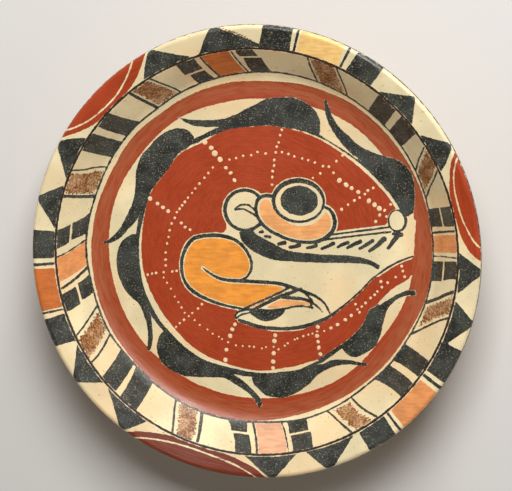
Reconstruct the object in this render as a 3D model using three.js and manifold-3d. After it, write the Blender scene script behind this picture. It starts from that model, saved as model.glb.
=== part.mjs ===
// A painted pottery serving plate on three hollow feet, built by hand from clay pieces:
// a floor slab, a flaring wall, a broad rim ledge, three hollow feet with their luting collars,
// and the loose clay pellets that rattle inside the feet.
// Millimetres, +Z up, origin on the table under the middle of the plate.
import * as THREE from 'three';
import { mergeVertices } from 'three/addons/utils/BufferGeometryUtils.js';
import Module from 'manifold-3d';

const wasm = await Module();
wasm.setup();

// The dish.
const rimDiameter = 380;
const rimWidth = 21; // from the mouth out to the lip, seen from above
const rimRise = 5; // from the mouth up to the lip
const rimThickness = 7.5;
const wallFlare = 23; // how far the wall leans out between the floor and the mouth
const wallDepth = 25; // from the floor up to the mouth
const wallThickness = 8.5;
const slabThickness = 9;
const slabEdgeHeight = 4; // the slab's thin edge, which the wall stands on
const floorCornerRadius = 22;
const mouthRounding = 1.4;
const lipRounding = Math.min(3.3, 0.45 * rimThickness);
const baseRounding = Math.min(2.5, 0.6 * slabEdgeHeight);

// The luting seams. Each has a scored ridge that keys into a groove.
const seamGap = 0.3;
const keyWidth = 2.6;
const keyHeight = 1.2;
const rimSeamDrop = 1.2; // the rim is luted onto the wall just under the mouth

// The feet.
const footCount = 3;
const footHeight = 46; // from the table to the underside of the slab
const footInset = 47; // from the edge of the slab in to the middle of a foot
const footTopDiameter = 45;
const footBottomDiameter = 38;
const footWall = 5;
const soleThickness = 6.5;
const footBottomRounding = 9;
const chamberRounding = 6;
const socketDepth = 1.6; // how far a foot is let into the slab
const collarWidth = 7;
const collarHeight = 8;
const collarEdge = 0.9; // thickness where the collar thins out
const slitWidth = 4.5;
const slitAboveChamberFloor = 8;
const slitBelowCollar = 4;

// The rattle pellets, side by side on the floor of each hollow foot.
const pelletDiameter = 10;
const pelletRest = 0.3; // clearance under a resting pellet

// How finely round shapes are divided.
const dishSides = 96;
const footSides = 32;
const pelletSides = 14;
const cornerSteps = 3;

const slabBottomZ = footHeight;
const seatZ = slabBottomZ + slabEdgeHeight;
const floorZ = slabBottomZ + slabThickness;
const mouthZ = floorZ + wallDepth;
const lipZ = mouthZ + rimRise;
const rimRadius = rimDiameter / 2;
const mouthRadius = rimRadius - rimWidth;

// Directions along the wall and square to it, in a section through the dish: x is radius, y is height.
const wallSlope = Math.atan2(wallDepth, wallFlare);
const upWall = new THREE.Vector2(Math.cos(wallSlope), Math.sin(wallSlope));
const outOfWall = new THREE.Vector2(Math.sin(wallSlope), -Math.cos(wallSlope));
const mouth = new THREE.Vector2(mouthRadius, mouthZ);
const floorCorner = new THREE.Vector2(mouthRadius - wallFlare, floorZ);
const outerCorner = from(floorCorner, outOfWall, wallThickness);

// The round corner between the floor and the wall. The wall is luted onto the slab where it begins.
const cornerReach = floorCornerRadius * Math.tan(wallSlope / 2);
const cornerCentre = new THREE.Vector2(floorCorner.x - cornerReach, floorZ + floorCornerRadius);
const floorRadius = cornerCentre.x;
const seatMiddle = (floorRadius + outsideRadius(seatZ)) / 2;

// The collar ends where the slab begins, and the slit keeps below it.
const collarTopZ = slabBottomZ - seamGap;
const collarBottomZ = collarTopZ - collarHeight;
const slitBottomZ = soleThickness + slitAboveChamberFloor;
const slitTopZ = collarBottomZ - slitBelowCollar;

const clay = {
  cream: new THREE.MeshStandardMaterial({ color: 0xdfb982, roughness: 0.45, metalness: 0 }),
  red: new THREE.MeshStandardMaterial({ color: 0x8a2f1c, roughness: 0.45, metalness: 0 }),
  buff: new THREE.MeshStandardMaterial({ color: 0xb9784a, roughness: 0.75, metalness: 0 }),
  pellet: new THREE.MeshStandardMaterial({ color: 0xa5663f, roughness: 0.9, metalness: 0 }),
};

// The point at a distance from another along a direction.
function from(start, direction, distance) {
  return start.clone().addScaledVector(direction, distance);
}

// The radius of the wall's outer face at a height.
function outsideRadius(z) {
  return outerCorner.x + (z - outerCorner.y) / Math.tan(wallSlope);
}

// Where two lines meet, each given by a point and a direction.
function meeting(a, alongA, b, alongB) {
  const share = b.clone().sub(a).cross(alongB) / alongA.cross(alongB);
  return from(a, alongA, share);
}

// Points of an outline whose corners are [x, y, rounding]; a corner with no rounding stays sharp.
function rounded(corners) {
  const outline = [];
  corners.forEach(([x, y, rounding = 0], i) => {
    const corner = new THREE.Vector2(x, y);
    if (rounding === 0) {
      outline.push(corner);
      return;
    }
    const before = corners[(i + corners.length - 1) % corners.length];
    const after = corners[(i + 1) % corners.length];
    const toBefore = new THREE.Vector2(before[0], before[1]).sub(corner).normalize();
    const toAfter = new THREE.Vector2(after[0], after[1]).sub(corner).normalize();
    const halfAngle = Math.acos(THREE.MathUtils.clamp(toBefore.dot(toAfter), -1, 1)) / 2;
    const reach = rounding / Math.tan(halfAngle);
    const middle = toBefore.clone().add(toAfter).normalize();
    const centre = from(corner, middle, rounding / Math.sin(halfAngle));
    const start = from(corner, toBefore, reach).sub(centre);
    const end = from(corner, toAfter, reach).sub(centre);
    const turn = Math.atan2(start.cross(end), start.dot(end));
    for (let step = 0; step <= cornerSteps; step++) {
      const angle = (turn * step) / cornerSteps;
      outline.push(start.clone().rotateAround(new THREE.Vector2(), angle).add(centre));
    }
  });
  return outline;
}

// The round corner of the dish, from the wall down to the floor.
function floorCornerArc() {
  const points = [];
  for (let step = cornerSteps; step >= 0; step--) {
    const angle = (wallSlope * step) / cornerSteps;
    const x = cornerCentre.x + floorCornerRadius * Math.sin(angle);
    const y = cornerCentre.y - floorCornerRadius * Math.cos(angle);
    points.push([x, y]);
  }
  return points;
}

// A solid of revolution about +Z. The outline runs anticlockwise in the plane of radius and height,
// and a ring's outline, which doesn't reach the axis, closes on itself.
function turned(outline, sides) {
  const ring = outline[0].x > 0;
  const profile = ring ? [...outline, outline[0].clone()] : outline;
  return solidOf(new THREE.LatheGeometry(profile, sides).rotateX(Math.PI / 2));
}

// A manifold solid from a closed three.js geometry.
function solidOf(geometry) {
  geometry.deleteAttribute('normal');
  geometry.deleteAttribute('uv');
  const merged = mergeVertices(geometry, 1e-4);
  return new wasm.Manifold(
    new wasm.Mesh({
      numProp: 3,
      vertProperties: new Float32Array(merged.attributes.position.array),
      triVerts: new Uint32Array(merged.index.array),
    }),
  );
}

// A named mesh from a manifold solid.
function piece(name, solid, material) {
  const made = solid.getMesh();
  const geometry = new THREE.BufferGeometry();
  geometry.setAttribute('position', new THREE.BufferAttribute(made.vertProperties, 3));
  geometry.setIndex(new THREE.BufferAttribute(made.triVerts, 1));
  geometry.computeVertexNormals();
  const mesh = new THREE.Mesh(geometry, material);
  mesh.name = name;
  return mesh;
}

// The slab: a disc with a grooved step round it for the wall and a shallow socket underneath for
// each foot.
function floorSlab() {
  const halfGroove = keyWidth / 2 + seamGap;
  const outline = rounded([
    [0, slabBottomZ],
    [outsideRadius(slabBottomZ), slabBottomZ, baseRounding],
    [outsideRadius(seatZ), seatZ],
    [seatMiddle + halfGroove, seatZ],
    [seatMiddle + halfGroove, seatZ - keyHeight],
    [seatMiddle - halfGroove, seatZ - keyHeight],
    [seatMiddle - halfGroove, seatZ],
    [floorRadius, seatZ],
    [floorRadius, floorZ],
    [0, floorZ],
  ]);
  let slab = turned(outline, dishSides);
  for (let i = 0; i < footCount; i++) {
    const place = footPlace(i);
    slab = slab.subtract(footSocket().translate([place.x, place.y, 0]));
  }
  return piece('floor_slab', slab, clay.red);
}

// The ring-shaped pocket in the slab that takes the top of a foot.
function footSocket() {
  const outer = footTopDiameter / 2 + seamGap;
  const inner = footTopDiameter / 2 - footWall - seamGap;
  const top = slabBottomZ + socketDepth;
  const bottom = slabBottomZ - socketDepth;
  const outline = rounded([
    [inner, bottom],
    [outer, bottom],
    [outer, top],
    [inner, top],
  ]);
  return turned(outline, footSides);
}

// The wall: a flaring ring with a ridge below, for the slab, and one above, for the rim.
function wallRing() {
  const footZ = seatZ + seamGap;
  const halfKey = keyWidth / 2;
  const rimSeam = from(mouth, upWall, -rimSeamDrop);
  const keyMiddle = from(rimSeam, outOfWall, wallThickness / 2);
  const keyInner = from(keyMiddle, outOfWall, -halfKey);
  const keyOuter = from(keyMiddle, outOfWall, halfKey);
  const keyInnerTop = from(keyInner, upWall, keyHeight);
  const keyOuterTop = from(keyOuter, upWall, keyHeight);
  const outerTop = from(rimSeam, outOfWall, wallThickness);
  const toe = floorRadius + seamGap;
  const outline = rounded([
    [toe, footZ],
    [seatMiddle - halfKey, footZ],
    [seatMiddle - halfKey, footZ - keyHeight],
    [seatMiddle + halfKey, footZ - keyHeight],
    [seatMiddle + halfKey, footZ],
    [outsideRadius(footZ), footZ],
    [outerTop.x, outerTop.y],
    [keyOuter.x, keyOuter.y],
    [keyOuterTop.x, keyOuterTop.y],
    [keyInnerTop.x, keyInnerTop.y],
    [keyInner.x, keyInner.y],
    [rimSeam.x, rimSeam.y],
    ...floorCornerArc().slice(0, -1),
    [toe, floorZ],
  ]);
  return piece('wall_ring', turned(outline, dishSides), clay.cream);
}

// The rim ledge: it starts at the mouth, grooved for the wall's ridge, and climbs a little to the lip.
function rimLedge() {
  const seam = from(mouth, upWall, seamGap - rimSeamDrop);
  const halfGroove = keyWidth / 2 + seamGap;
  const grooveMiddle = from(seam, outOfWall, wallThickness / 2);
  const grooveInner = from(grooveMiddle, outOfWall, -halfGroove);
  const grooveOuter = from(grooveMiddle, outOfWall, halfGroove);
  const grooveInnerTop = from(grooveInner, upWall, keyHeight);
  const grooveOuterTop = from(grooveOuter, upWall, keyHeight);
  const ledge = new THREE.Vector2(rimWidth, rimRise).normalize();
  const underMouth = from(mouth, new THREE.Vector2(ledge.y, -ledge.x), rimThickness);
  const armpit = meeting(underMouth, ledge, seam, outOfWall);
  const lipDrop = rimThickness / ledge.x;
  const outline = rounded([
    [armpit.x, armpit.y],
    [rimRadius, lipZ - lipDrop, lipRounding],
    [rimRadius, lipZ, lipRounding],
    [mouth.x, mouth.y, mouthRounding],
    [seam.x, seam.y],
    [grooveInner.x, grooveInner.y],
    [grooveInnerTop.x, grooveInnerTop.y],
    [grooveOuterTop.x, grooveOuterTop.y],
    [grooveOuter.x, grooveOuter.y],
  ]);
  return piece('rim_ledge', turned(outline, dishSides), clay.cream);
}

// The direction of a foot from the middle of the plate. The first foot is on +Y.
function footAngle(i) {
  return Math.PI / 2 + (2 * Math.PI * i) / footCount;
}

function footPlace(i) {
  const radius = outsideRadius(slabBottomZ) - footInset;
  return new THREE.Vector2(radius * Math.cos(footAngle(i)), radius * Math.sin(footAngle(i)));
}

// The radius of a foot's outer face at a height.
function footRadius(z) {
  return THREE.MathUtils.mapLinear(z, 0, footHeight, footBottomDiameter / 2, footTopDiameter / 2);
}

// A foot: a hollow, slightly tapering clay cup, open at the top where the slab closes it,
// with a narrow upright slit through its wall on two sides.
function footShell(name) {
  const top = slabBottomZ + socketDepth - seamGap;
  const outline = rounded([
    [0, 0],
    [footRadius(0), 0, footBottomRounding],
    [footRadius(footHeight), footHeight],
    [footRadius(footHeight), top],
    [footRadius(footHeight) - footWall, top],
    [footRadius(soleThickness) - footWall, soleThickness, chamberRounding],
    [0, soleThickness],
  ]);
  const cup = turned(outline, footSides);
  return piece(name, cup.subtract(slitCutter()), clay.buff);
}

// An upright bar with round ends that runs through a foot from its outer side to its inner side.
function slitCutter() {
  const radius = slitWidth / 2;
  const low = slitBottomZ + radius;
  const high = slitTopZ - radius;
  const slit = new THREE.Shape();
  slit.moveTo(radius, low);
  slit.lineTo(radius, high);
  slit.absarc(0, high, radius, 0, Math.PI, false);
  slit.lineTo(-radius, low);
  slit.absarc(0, low, radius, Math.PI, 2 * Math.PI, false);
  const length = footTopDiameter + footBottomDiameter;
  const bar = new THREE.ExtrudeGeometry(slit, { depth: length, bevelEnabled: false, curveSegments: 6 });
  bar.translate(0, 0, -length / 2);
  bar.rotateX(Math.PI / 2);
  bar.rotateZ(Math.PI / 2);
  return solidOf(bar);
}

// The coil of clay pressed into the corner between a foot and the slab, with a hollow cheek.
function footCollar(name) {
  const inside = footRadius(footHeight) + seamGap;
  const outside = inside + collarWidth;
  const width = collarWidth - collarEdge;
  const height = collarHeight - collarEdge;
  const cheek = new THREE.EllipseCurve(outside, collarBottomZ, width, height, Math.PI, Math.PI / 2, true);
  const outline = [
    new THREE.Vector2(inside, collarBottomZ),
    ...cheek.getPoints(2 * cornerSteps),
    new THREE.Vector2(outside, collarTopZ),
    new THREE.Vector2(inside, collarTopZ),
  ];
  return piece(name, turned(outline, footSides), clay.buff);
}

// A loose pellet, lying in the middle of its half of the chamber floor.
function pellet(name, side) {
  const centreZ = soleThickness + pelletRest + pelletDiameter / 2;
  const chamberRadius = footRadius(centreZ) - footWall;
  const ball = solidOf(new THREE.SphereGeometry(pelletDiameter / 2, pelletSides, pelletSides / 2));
  const mesh = piece(name, ball, clay.pellet);
  mesh.position.set(0, (side * chamberRadius) / 2, centreZ);
  mesh.rotation.x = Math.PI / 2;
  return mesh;
}

function foot(i) {
  const group = new THREE.Group();
  const number = i + 1;
  group.add(footShell(`foot_${number}_shell`));
  group.add(footCollar(`foot_${number}_collar`));
  group.add(pellet(`foot_${number}_pellet_a`, 1));
  group.add(pellet(`foot_${number}_pellet_b`, -1));
  const place = footPlace(i);
  group.position.set(place.x, place.y, 0);
  group.rotation.z = footAngle(i);
  return group;
}

const plate = new THREE.Group();
plate.add(floorSlab());
plate.add(wallRing());
plate.add(rimLedge());
for (let i = 0; i < footCount; i++) plate.add(foot(i));

export default plate;
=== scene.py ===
"""Painted plate on three rattle feet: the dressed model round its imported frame."""

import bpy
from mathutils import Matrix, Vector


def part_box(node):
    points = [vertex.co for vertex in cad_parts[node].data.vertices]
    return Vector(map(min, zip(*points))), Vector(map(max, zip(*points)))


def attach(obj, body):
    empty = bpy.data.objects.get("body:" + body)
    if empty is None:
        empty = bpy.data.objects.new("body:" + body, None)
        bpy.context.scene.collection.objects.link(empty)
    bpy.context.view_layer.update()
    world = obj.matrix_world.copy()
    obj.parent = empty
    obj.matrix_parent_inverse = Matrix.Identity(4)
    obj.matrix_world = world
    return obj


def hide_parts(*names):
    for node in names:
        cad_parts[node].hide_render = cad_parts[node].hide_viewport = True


bl_info = {
    "name": "Painted tripod plate",
    "version": (1, 0, 0),
    "blender": (4, 5, 0),
    "location": "3D View > Sidebar > Plate",
    "description": "Builds a slip-painted pottery plate on three hollow rattle feet",
    "category": "Object",
}

import math

import bmesh
import bpy
import numpy as np
from mathutils import Matrix, Vector, noise
from bpy.props import FloatProperty, FloatVectorProperty, IntProperty, PointerProperty

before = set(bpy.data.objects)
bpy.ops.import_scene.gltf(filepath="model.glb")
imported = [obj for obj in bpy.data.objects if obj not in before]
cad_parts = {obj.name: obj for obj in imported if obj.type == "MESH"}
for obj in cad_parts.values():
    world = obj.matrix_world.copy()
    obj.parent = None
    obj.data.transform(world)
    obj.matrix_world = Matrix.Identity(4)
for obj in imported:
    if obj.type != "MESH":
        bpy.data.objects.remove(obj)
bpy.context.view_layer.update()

MM = 0.001
VESSEL = "vessel"
FEET = (1, 2, 3)
PELLETS = ("a", "b")
# how far, in mm, a painted edge is still felt on either side
REACH = 5.0
# the slips in the order in which they are laid, and how much each adds to the bump; the pale
# yellow-orange of one rim block and the pinkish orange of the lower wall block are painted sheen
SLIPS = {"red": 0.12, "maroon": 0.12, "orange": 0.12, "amber": 0.12, "sheen_apricot": 0.12,
         "peach": 0.12, "pink": 0.12, "rust": 0.12, "hatch": 0.08, "black": 0.2, "edge": 0.1}
# plan radii, in mm, of the line round the mouth and of the dark line on the lip
MOUTH_LINE = 170.2
LIP_LINE = 190.3
# widths, in mm, of those two lines and of the line round the floor
MOUTH_WIDTH = 2.0
LIP_WIDTH = 1.3
FOOT_WIDTH = 1.5


def linear(code):
    """A colour written as six hex digits, as the linear values that Blender keeps."""
    values = [int(code[i:i + 2], 16) / 255 for i in (0, 2, 4)]
    return tuple(v / 12.92 if v <= 0.04045 else ((v + 0.055) / 1.055) ** 2.4 for v in values)


# Sizes, colours and stage settings


def as_length(name, text, metres):
    return FloatProperty(name=name, description=text, default=metres, unit="LENGTH")


def as_angle(name, text, degrees):
    return FloatProperty(name=name, description=text, default=math.radians(degrees),
                         subtype="ANGLE")


def as_amount(name, text, value, **limits):
    return FloatProperty(name=name, description=text, default=value, **limits)


def as_colour(name, text, code):
    return FloatVectorProperty(name=name, description=text, default=linear(code),
                               subtype="COLOR", min=0, max=1)


class PlateSizes(bpy.types.PropertyGroup):
    """The plate's own sizes, as in the frame."""

    lip_radius: as_length("Lip radius", "Plate centre to the lip", 0.190)
    lip_height: as_length(
        "Lip height", "Ground to the lip's upper corner before it is rounded", 0.08485)
    lip_rounding: as_length("Lip rounding", "Radius of the lip's two edges", 0.0033)
    mouth_radius: as_length("Mouth radius", "Plate centre to the top of the wall", 0.169)
    mouth_height: as_length("Mouth height", "Ground to the top of the wall", 0.080)
    corner_radius: as_length(
        "Floor corner radius", "Plate centre to where floor and wall would meet", 0.146)
    corner_rounding: as_length(
        "Floor corner rounding", "Radius of the hollow between floor and wall", 0.022)
    floor_height: as_length("Floor height", "Ground to the painted floor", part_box("floor_slab")[1][2])
    under_height: as_length("Underside height", "Ground to the slab's underside", 0.046)
    wall_thickness: as_length("Wall thickness", "Clay between the wall's faces", 0.0085)
    rim_thickness: as_length("Rim thickness", "Clay between the ledge's faces", 0.0075)
    out_of_round: as_length(
        "Out of round", "How far the lip strays from a circle, from side to side", 0.0020)
    lip_sag: as_length("Lip sag", "Most that the lip dips below its highest place", 0.0007)
    dot_height: as_amount(
        "Dot height", "Height of a slip dot as a share of its radius", 0.10, min=0.05, max=1.0)
    foot_circle: as_length("Foot circle", "Plate centre to each foot's centre", 0.10227)
    foot_top_radius: as_length("Foot top radius", "Foot's outer radius under the slab", 0.0225)
    foot_sole_radius: as_length(
        "Foot sole radius", "Foot's outer radius at the ground, before rounding", 0.019)
    pellet_radius: as_length("Pellet radius", "Radius of a rattle pellet", 0.005)


class SlipColours(bpy.types.PropertyGroup):
    """Colours of the slips and the clay."""

    cream: as_colour("Cream slip", "Ground colour of the painted side", "f2e1b5")
    red: as_colour("Red slip", "Brick red of the floor and the half-discs", "a53d1b")
    maroon: as_colour("Maroon slip", "Thicker red of the lower half-disc", "78321b")
    orange: as_colour("Orange slip", "Orange of the scroll", "f39c3e")
    amber: as_colour("Amber slip", "Middle orange of three blocks", "e5965a")
    # a painted highlight: peach lightened for the sheen on one rim block
    sheen_apricot: as_colour("Apricot slip", "Yellow-orange of the pale rim block", "ffca7e")
    peach: as_colour("Peach slip", "Paler orange of the crescent", "f3ac6c")
    pink: as_colour("Pink slip", "Pinkish orange of the lower wall block", "e9b08a")
    # painted sheen: orange turned pinker for the red ring's reflection on the lower wall block
    rust: as_colour("Rust slip", "Deeper orange of two blocks", "cb6f30")
    black: as_colour("Black slip", "Blue-black of the plumes, blocks and lines", "363935")
    hatch: as_colour("Brown slip", "Brown of the scribbled panels", "704525")
    dots: as_colour("Dot slip", "Cream-white of the raised dots", "fad7ac")
    clay: as_colour("Fired clay", "Buff clay of the outside and the feet", "c39765")
    pellet: as_colour("Pellet clay", "Brown clay of the rattle pellets", "9c6a45")


class StageSettings(bpy.types.PropertyGroup):
    """Camera and lights."""

    camera_tilt: as_angle("Camera tilt", "Angle between the plate's axis and the camera", 12.8)
    camera_heading: as_angle("Camera heading", "Side of the plate that the camera leans to", 36.6)
    camera_distance: as_length("Camera distance", "Camera to the middle of the mouth", 2.194)
    lens: as_amount("Lens", "Focal length on a 36 mm sensor, in millimetres", 186.6)
    key_power: as_amount("Key power", "Power of the low lamp above the picture, in watts", 6.2)
    key_height: as_angle("Key elevation", "Height of the key lamp over the plate's plane", 20)
    fill_power: as_amount("Fill power", "Power of the high soft lamp, in watts", 52.5)
    world_light: as_amount("World light", "Strength of the even light all round", 0.65)
    ground: as_colour("Ground colour", "Pale floor under the plate", "dcdad6")
    seed: IntProperty(name="Seed", description="Seed of everything uneven", default=7)


def sizes():
    return bpy.context.scene.plate_sizes


def colours():
    return bpy.context.scene.slip_colours


# Plan outlines, in mm from the plate's centre: x to the right, y up the picture


def at(angle, radius):
    """Plan position at an angle in degrees, anticlockwise from +X."""
    turn = math.radians(angle)
    return (radius * math.cos(turn), radius * math.sin(turn))


def polar(points):
    return [at(angle, radius) for angle, radius in points]


def smooth(points, steps=5):
    """A curve through the points, as short straight pieces."""
    p = np.array(points, float)
    p = np.vstack([2 * p[0] - p[1], p, 2 * p[-1] - p[-2]])
    t = np.linspace(0, 1, steps, endpoint=False)[:, None]
    runs = []
    for a, b, c, d in zip(p, p[1:], p[2:], p[3:]):
        bend = (2 * a - 5 * b + 4 * c - d) * t + (3 * b - a - 3 * c + d) * t * t
        runs.append(b + 0.5 * t * ((c - a) + bend))
    return np.vstack([*runs, p[-2]])


def joined(*runs):
    """One closed outline from smooth runs; each starts where the one before it ends."""
    starts = [run[-1] for run in (runs[-1], *runs)]
    return np.vstack([smooth([start, *run]) for start, run in zip(starts, runs)])


def oval(centre, across, up, steps=48):
    turn = np.linspace(0, 2 * math.pi, steps, endpoint=False)
    return np.column_stack([centre[0] + across * np.cos(turn), centre[1] + up * np.sin(turn)])


def slant(top, foot, high, low, past=0.0):
    """A brushed line down a band, a little bowed, from its angle at the top to that at the foot.

    past is the share of its height by which it runs on below the foot.
    """
    line = []
    for share in np.linspace(1, -past, 7):
        bow = share + 0.6 * share * (1 - share)
        line.append(at(foot + (top - foot) * bow, low + (high - low) * share))
    return line


def block(outer, inner, *band):
    """Outline of a band's block: its two angles at the top and two at the foot."""
    left, right = (slant(outer[k], inner[k], *band) for k in (0, 1))
    return np.array(left + right[::-1])


def ring(points):
    """A closed curve round the plate from (angle, radius) pairs."""
    turn, radius = smooth([(a + lap, r) for lap in (-360, 0, 360) for a, r in points]).T
    angles = np.arange(0, 360, 3)
    return np.array(polar(zip(angles, np.interp(angles, turn, radius))))


def closed_path(outline):
    return np.vstack([outline, outline[:1]])


def beside(path, rows):
    """Outline of a band along a path: rows hold a place along it and the band's two edges."""
    length = np.concatenate([[0], np.cumsum(np.hypot(*np.diff(path, axis=0).T))])
    places, *edges = np.array(rows, float).T
    along = np.arange(places[0], places[-1], 1.5)
    middle = np.column_stack([np.interp(along, length, axis) for axis in path.T])
    way = np.gradient(middle, axis=0)
    across = np.column_stack([-way[:, 1], way[:, 0]]) / np.hypot(*way.T)[:, None]
    inner, outer = (middle + across * np.interp(along, places, edge)[:, None] for edge in edges)
    return np.vstack([inner, outer[::-1]])


def distance(spots, path):
    """How far each spot is from a path, and which share of the path its nearest place lies at."""
    steps = np.hypot(*np.diff(path, axis=0).T)
    starts = np.concatenate([[0], np.cumsum(steps)])
    best = np.full(len(spots), 1e9)
    place = np.zeros(len(spots))
    for a, b, start, step in zip(path[:-1], path[1:], starts, steps):
        share = np.clip(((spots - a) @ (b - a)) / max(step * step, 1e-12), 0, 1)
        off = spots - a - share[:, None] * (b - a)
        gap = off[:, 0] ** 2 + off[:, 1] ** 2
        place = np.where(gap < best, start + share * step, place)
        np.minimum(best, gap, out=best)
    return np.sqrt(best), place / starts[-1]


def depth_inside(spots, outline):
    """How far each spot is inside an outline; outside it is negative."""
    x, y = spots.T
    odd = np.zeros(len(spots), bool)
    for (x0, y0), (x1, y1) in zip(outline, np.roll(outline, -1, axis=0)):
        if y0 != y1:
            odd ^= ((y0 > y) != (y1 > y)) & (x < x0 + (y - y0) * (x1 - x0) / (y1 - y0))
    edge, _ = distance(spots, closed_path(outline))
    return np.where(odd, edge, -edge)


class Painting:
    """Slip fields over plan positions, positive where a slip shows. Each stroke covers the last."""

    def __init__(self, spots):
        self.spots = spots
        self.fields = {slip: np.full(len(spots), -REACH) for slip in SLIPS}
        self.zone = np.full(len(spots), REACH)

    def enter(self, zone):
        """Clears a part of the plate, where its field is positive, and paints only there."""
        self.zone = np.clip(zone, -REACH, REACH)
        self.lay("cream", self.zone)

    def lay(self, slip, field):
        field = np.minimum(field, self.zone)
        for name, kept in self.fields.items():
            if name == slip:
                np.maximum(kept, field, out=kept)
            else:
                np.minimum(kept, -field, out=kept)

    def near(self, path, margin):
        low, high = path.min(axis=0) - margin, path.max(axis=0) + margin
        return np.all((self.spots > low) & (self.spots < high), axis=1)

    def area(self, slip, outline):
        outline = np.array(outline, float)
        field = np.full(len(self.spots), -REACH)
        close = self.near(outline, REACH)
        field[close] = np.clip(depth_inside(self.spots[close], outline), -REACH, REACH)
        self.lay(slip, field)

    def stroke(self, slip, path, width, extra=0.0):
        """A brushed line, of one width or of widths that follow each other at even spacing."""
        path = np.array(path, float)
        widths = np.atleast_1d(width) + 2 * extra
        field = np.full(len(self.spots), -REACH)
        close = self.near(path, REACH + widths.max() / 2)
        off, place = distance(self.spots[close], path)
        here = np.interp(place, np.linspace(0, 1, len(widths)), widths)
        field[close] = np.clip(here / 2 - off, -REACH, REACH)
        self.lay(slip, field)

    def discs(self, *rows):
        for slip, centre, across, up in rows:
            self.area(slip, oval(centre, across, up))

    def lines(self, halo, *lines):
        """Black lines that run into each other, with halo mm of cream left on both sides."""
        if halo:
            for width, path in lines:
                self.stroke("cream", path, width, halo)
        for width, path in lines:
            self.stroke("black", path, width)


# The floor's painting

FOOT_LINE = ring([
    (0, 146.8), (10, 147.1), (20, 148.3), (30, 149.5), (40, 150.2), (60, 150.4), (80, 150.4),
    (90, 149.6), (100, 148.8), (112, 148), (120, 147.4), (127, 146.6), (136, 147.5), (145, 147.5),
    (155, 147.1), (163, 147.2), (172, 148.2), (178, 148.8), (184, 148.6), (191, 147.8),
    (200, 147.9), (210, 148.3), (219, 147), (230, 147), (250, 147.8), (265, 147), (272, 146.3),
    (284, 147.3), (292, 146.6), (300, 145.5), (309, 144.2), (320, 144.7), (327, 144.2),
    (335, 144.9), (344, 146.2), (352, 146.8)])
RING_OUTSIDE = ring([
    (0, 146.2), (20, 146.6), (40, 146.7), (58, 146.8), (65, 145.4), (75, 144.2), (85, 142.2),
    (92, 142), (100, 142.6), (110, 142.6), (120, 142.3), (126, 141.7), (136, 143.1), (144, 143.2),
    (150, 142.4), (158, 142.8), (166, 143.7), (175, 144.4), (183, 145), (191, 145.2), (200, 145.6),
    (210, 145.9), (218, 145.6), (226, 146.3), (234, 147), (242, 147.8), (255, 147.6), (264, 146.6),
    (272, 145.2), (280, 143.6), (287, 142.8), (295, 142.2), (305, 142), (315, 141.8), (325, 142.1),
    (331, 142.2), (336, 143.3), (341, 144.4), (347, 146)])
RING_INSIDE = ring([
    (0, 130), (8, 131.3), (15, 134.3), (27, 134), (40, 132), (50, 132), (62, 130.4), (75, 128),
    (90, 127.2), (105, 127.4), (122, 129.5), (142, 128.8), (155, 130), (165, 130.3), (180, 129.8),
    (195, 129.3), (210, 129.3), (225, 128.7), (240, 127.9), (255, 127), (270, 126.2), (285, 126),
    (300, 127), (313, 126.5), (325, 125.6), (340, 128.6), (350, 130)])

# Serpent: the body's outside from the nostril over the top and round to the lower jaw's end
BODY_BACK = smooth([
    (119, 35), (109.7, 48), (106.3, 52), (93.8, 64.5), (81.3, 74.5), (64.7, 86), (52, 93.7),
    (39.7, 99.5), (31.3, 102), (20.5, 103.2), (10.5, 105), (-2, 105), (-18.7, 103.2), (-31, 100.3),
    (-48, 90.3), (-63.7, 82.8), (-72, 77), (-77, 70.3), (-87, 58), (-93.7, 48.7), (-98, 35),
    (-99.5, 27), (-101.6, 10.3), (-102, -1.3), (-100.7, -14.7), (-97.8, -26.3), (-93.7, -37.2),
    (-86.2, -51.3), (-81.2, -58.8), (-72.8, -68.8), (-64.5, -78), (-56.2, -84.7), (-43.7, -92.2),
    (-31, -97.2), (-18.7, -101), (-6.2, -102.6), (6.3, -102.2), (18.8, -100), (31.3, -97.6),
    (39.7, -94.7), (52, -90), (64.7, -81.3), (73, -75.5), (81.3, -68), (88, -59.7), (93, -48),
    (98, -44.7), (106.3, -35.5), (114.7, -28), (124.7, -22.2), (127.5, -18.6)])
# the body's end runs into the ring
BODY_END = [(133, -16), (134, -2), (124, 2)]
# along the back, in mm from the nostril: the edges of its black band and of its cream line,
# inward and outward of the path
BACK_BLACK = (
    (3, 1, -4), (50, 0, -4), (60, 0, -3.2), (70, 0, -3.3), (80, 0, -2.7), (93, 0, -2.9),
    (100, 0.5, -5), (120, 0, -4), (150, 0.9, -3), (176, 0.6, -3), (180, 0.3, -4.5),
    (190, -0.8, -5.5), (200, -1.4, -5.8), (210, -0.8, -5), (220, 0.5, -4), (240, 1.5, -3),
    (275, 0.8, -3.5), (285, 0.3, -4.1), (297, 0, -4.6), (310, -0.8, -5), (340, -2.5, -7.5),
    (350, -4, -9), (370, -4.5, -9.3), (380, -4.5, -9), (390, -4, -6), (420, -3, -6),
    (443, -0.5, -6), (450, 0, -5.8), (465, -0.5, -5.3), (480, -1, -4), (503, -2, -4),
    (522, 0.2, -3.9), (530, 0.2, -3.7), (541, 0.2, -2.9), (560, 0.2, -3), (584, 0, -2.6),
    (592, -0.6, -1.6))
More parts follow.
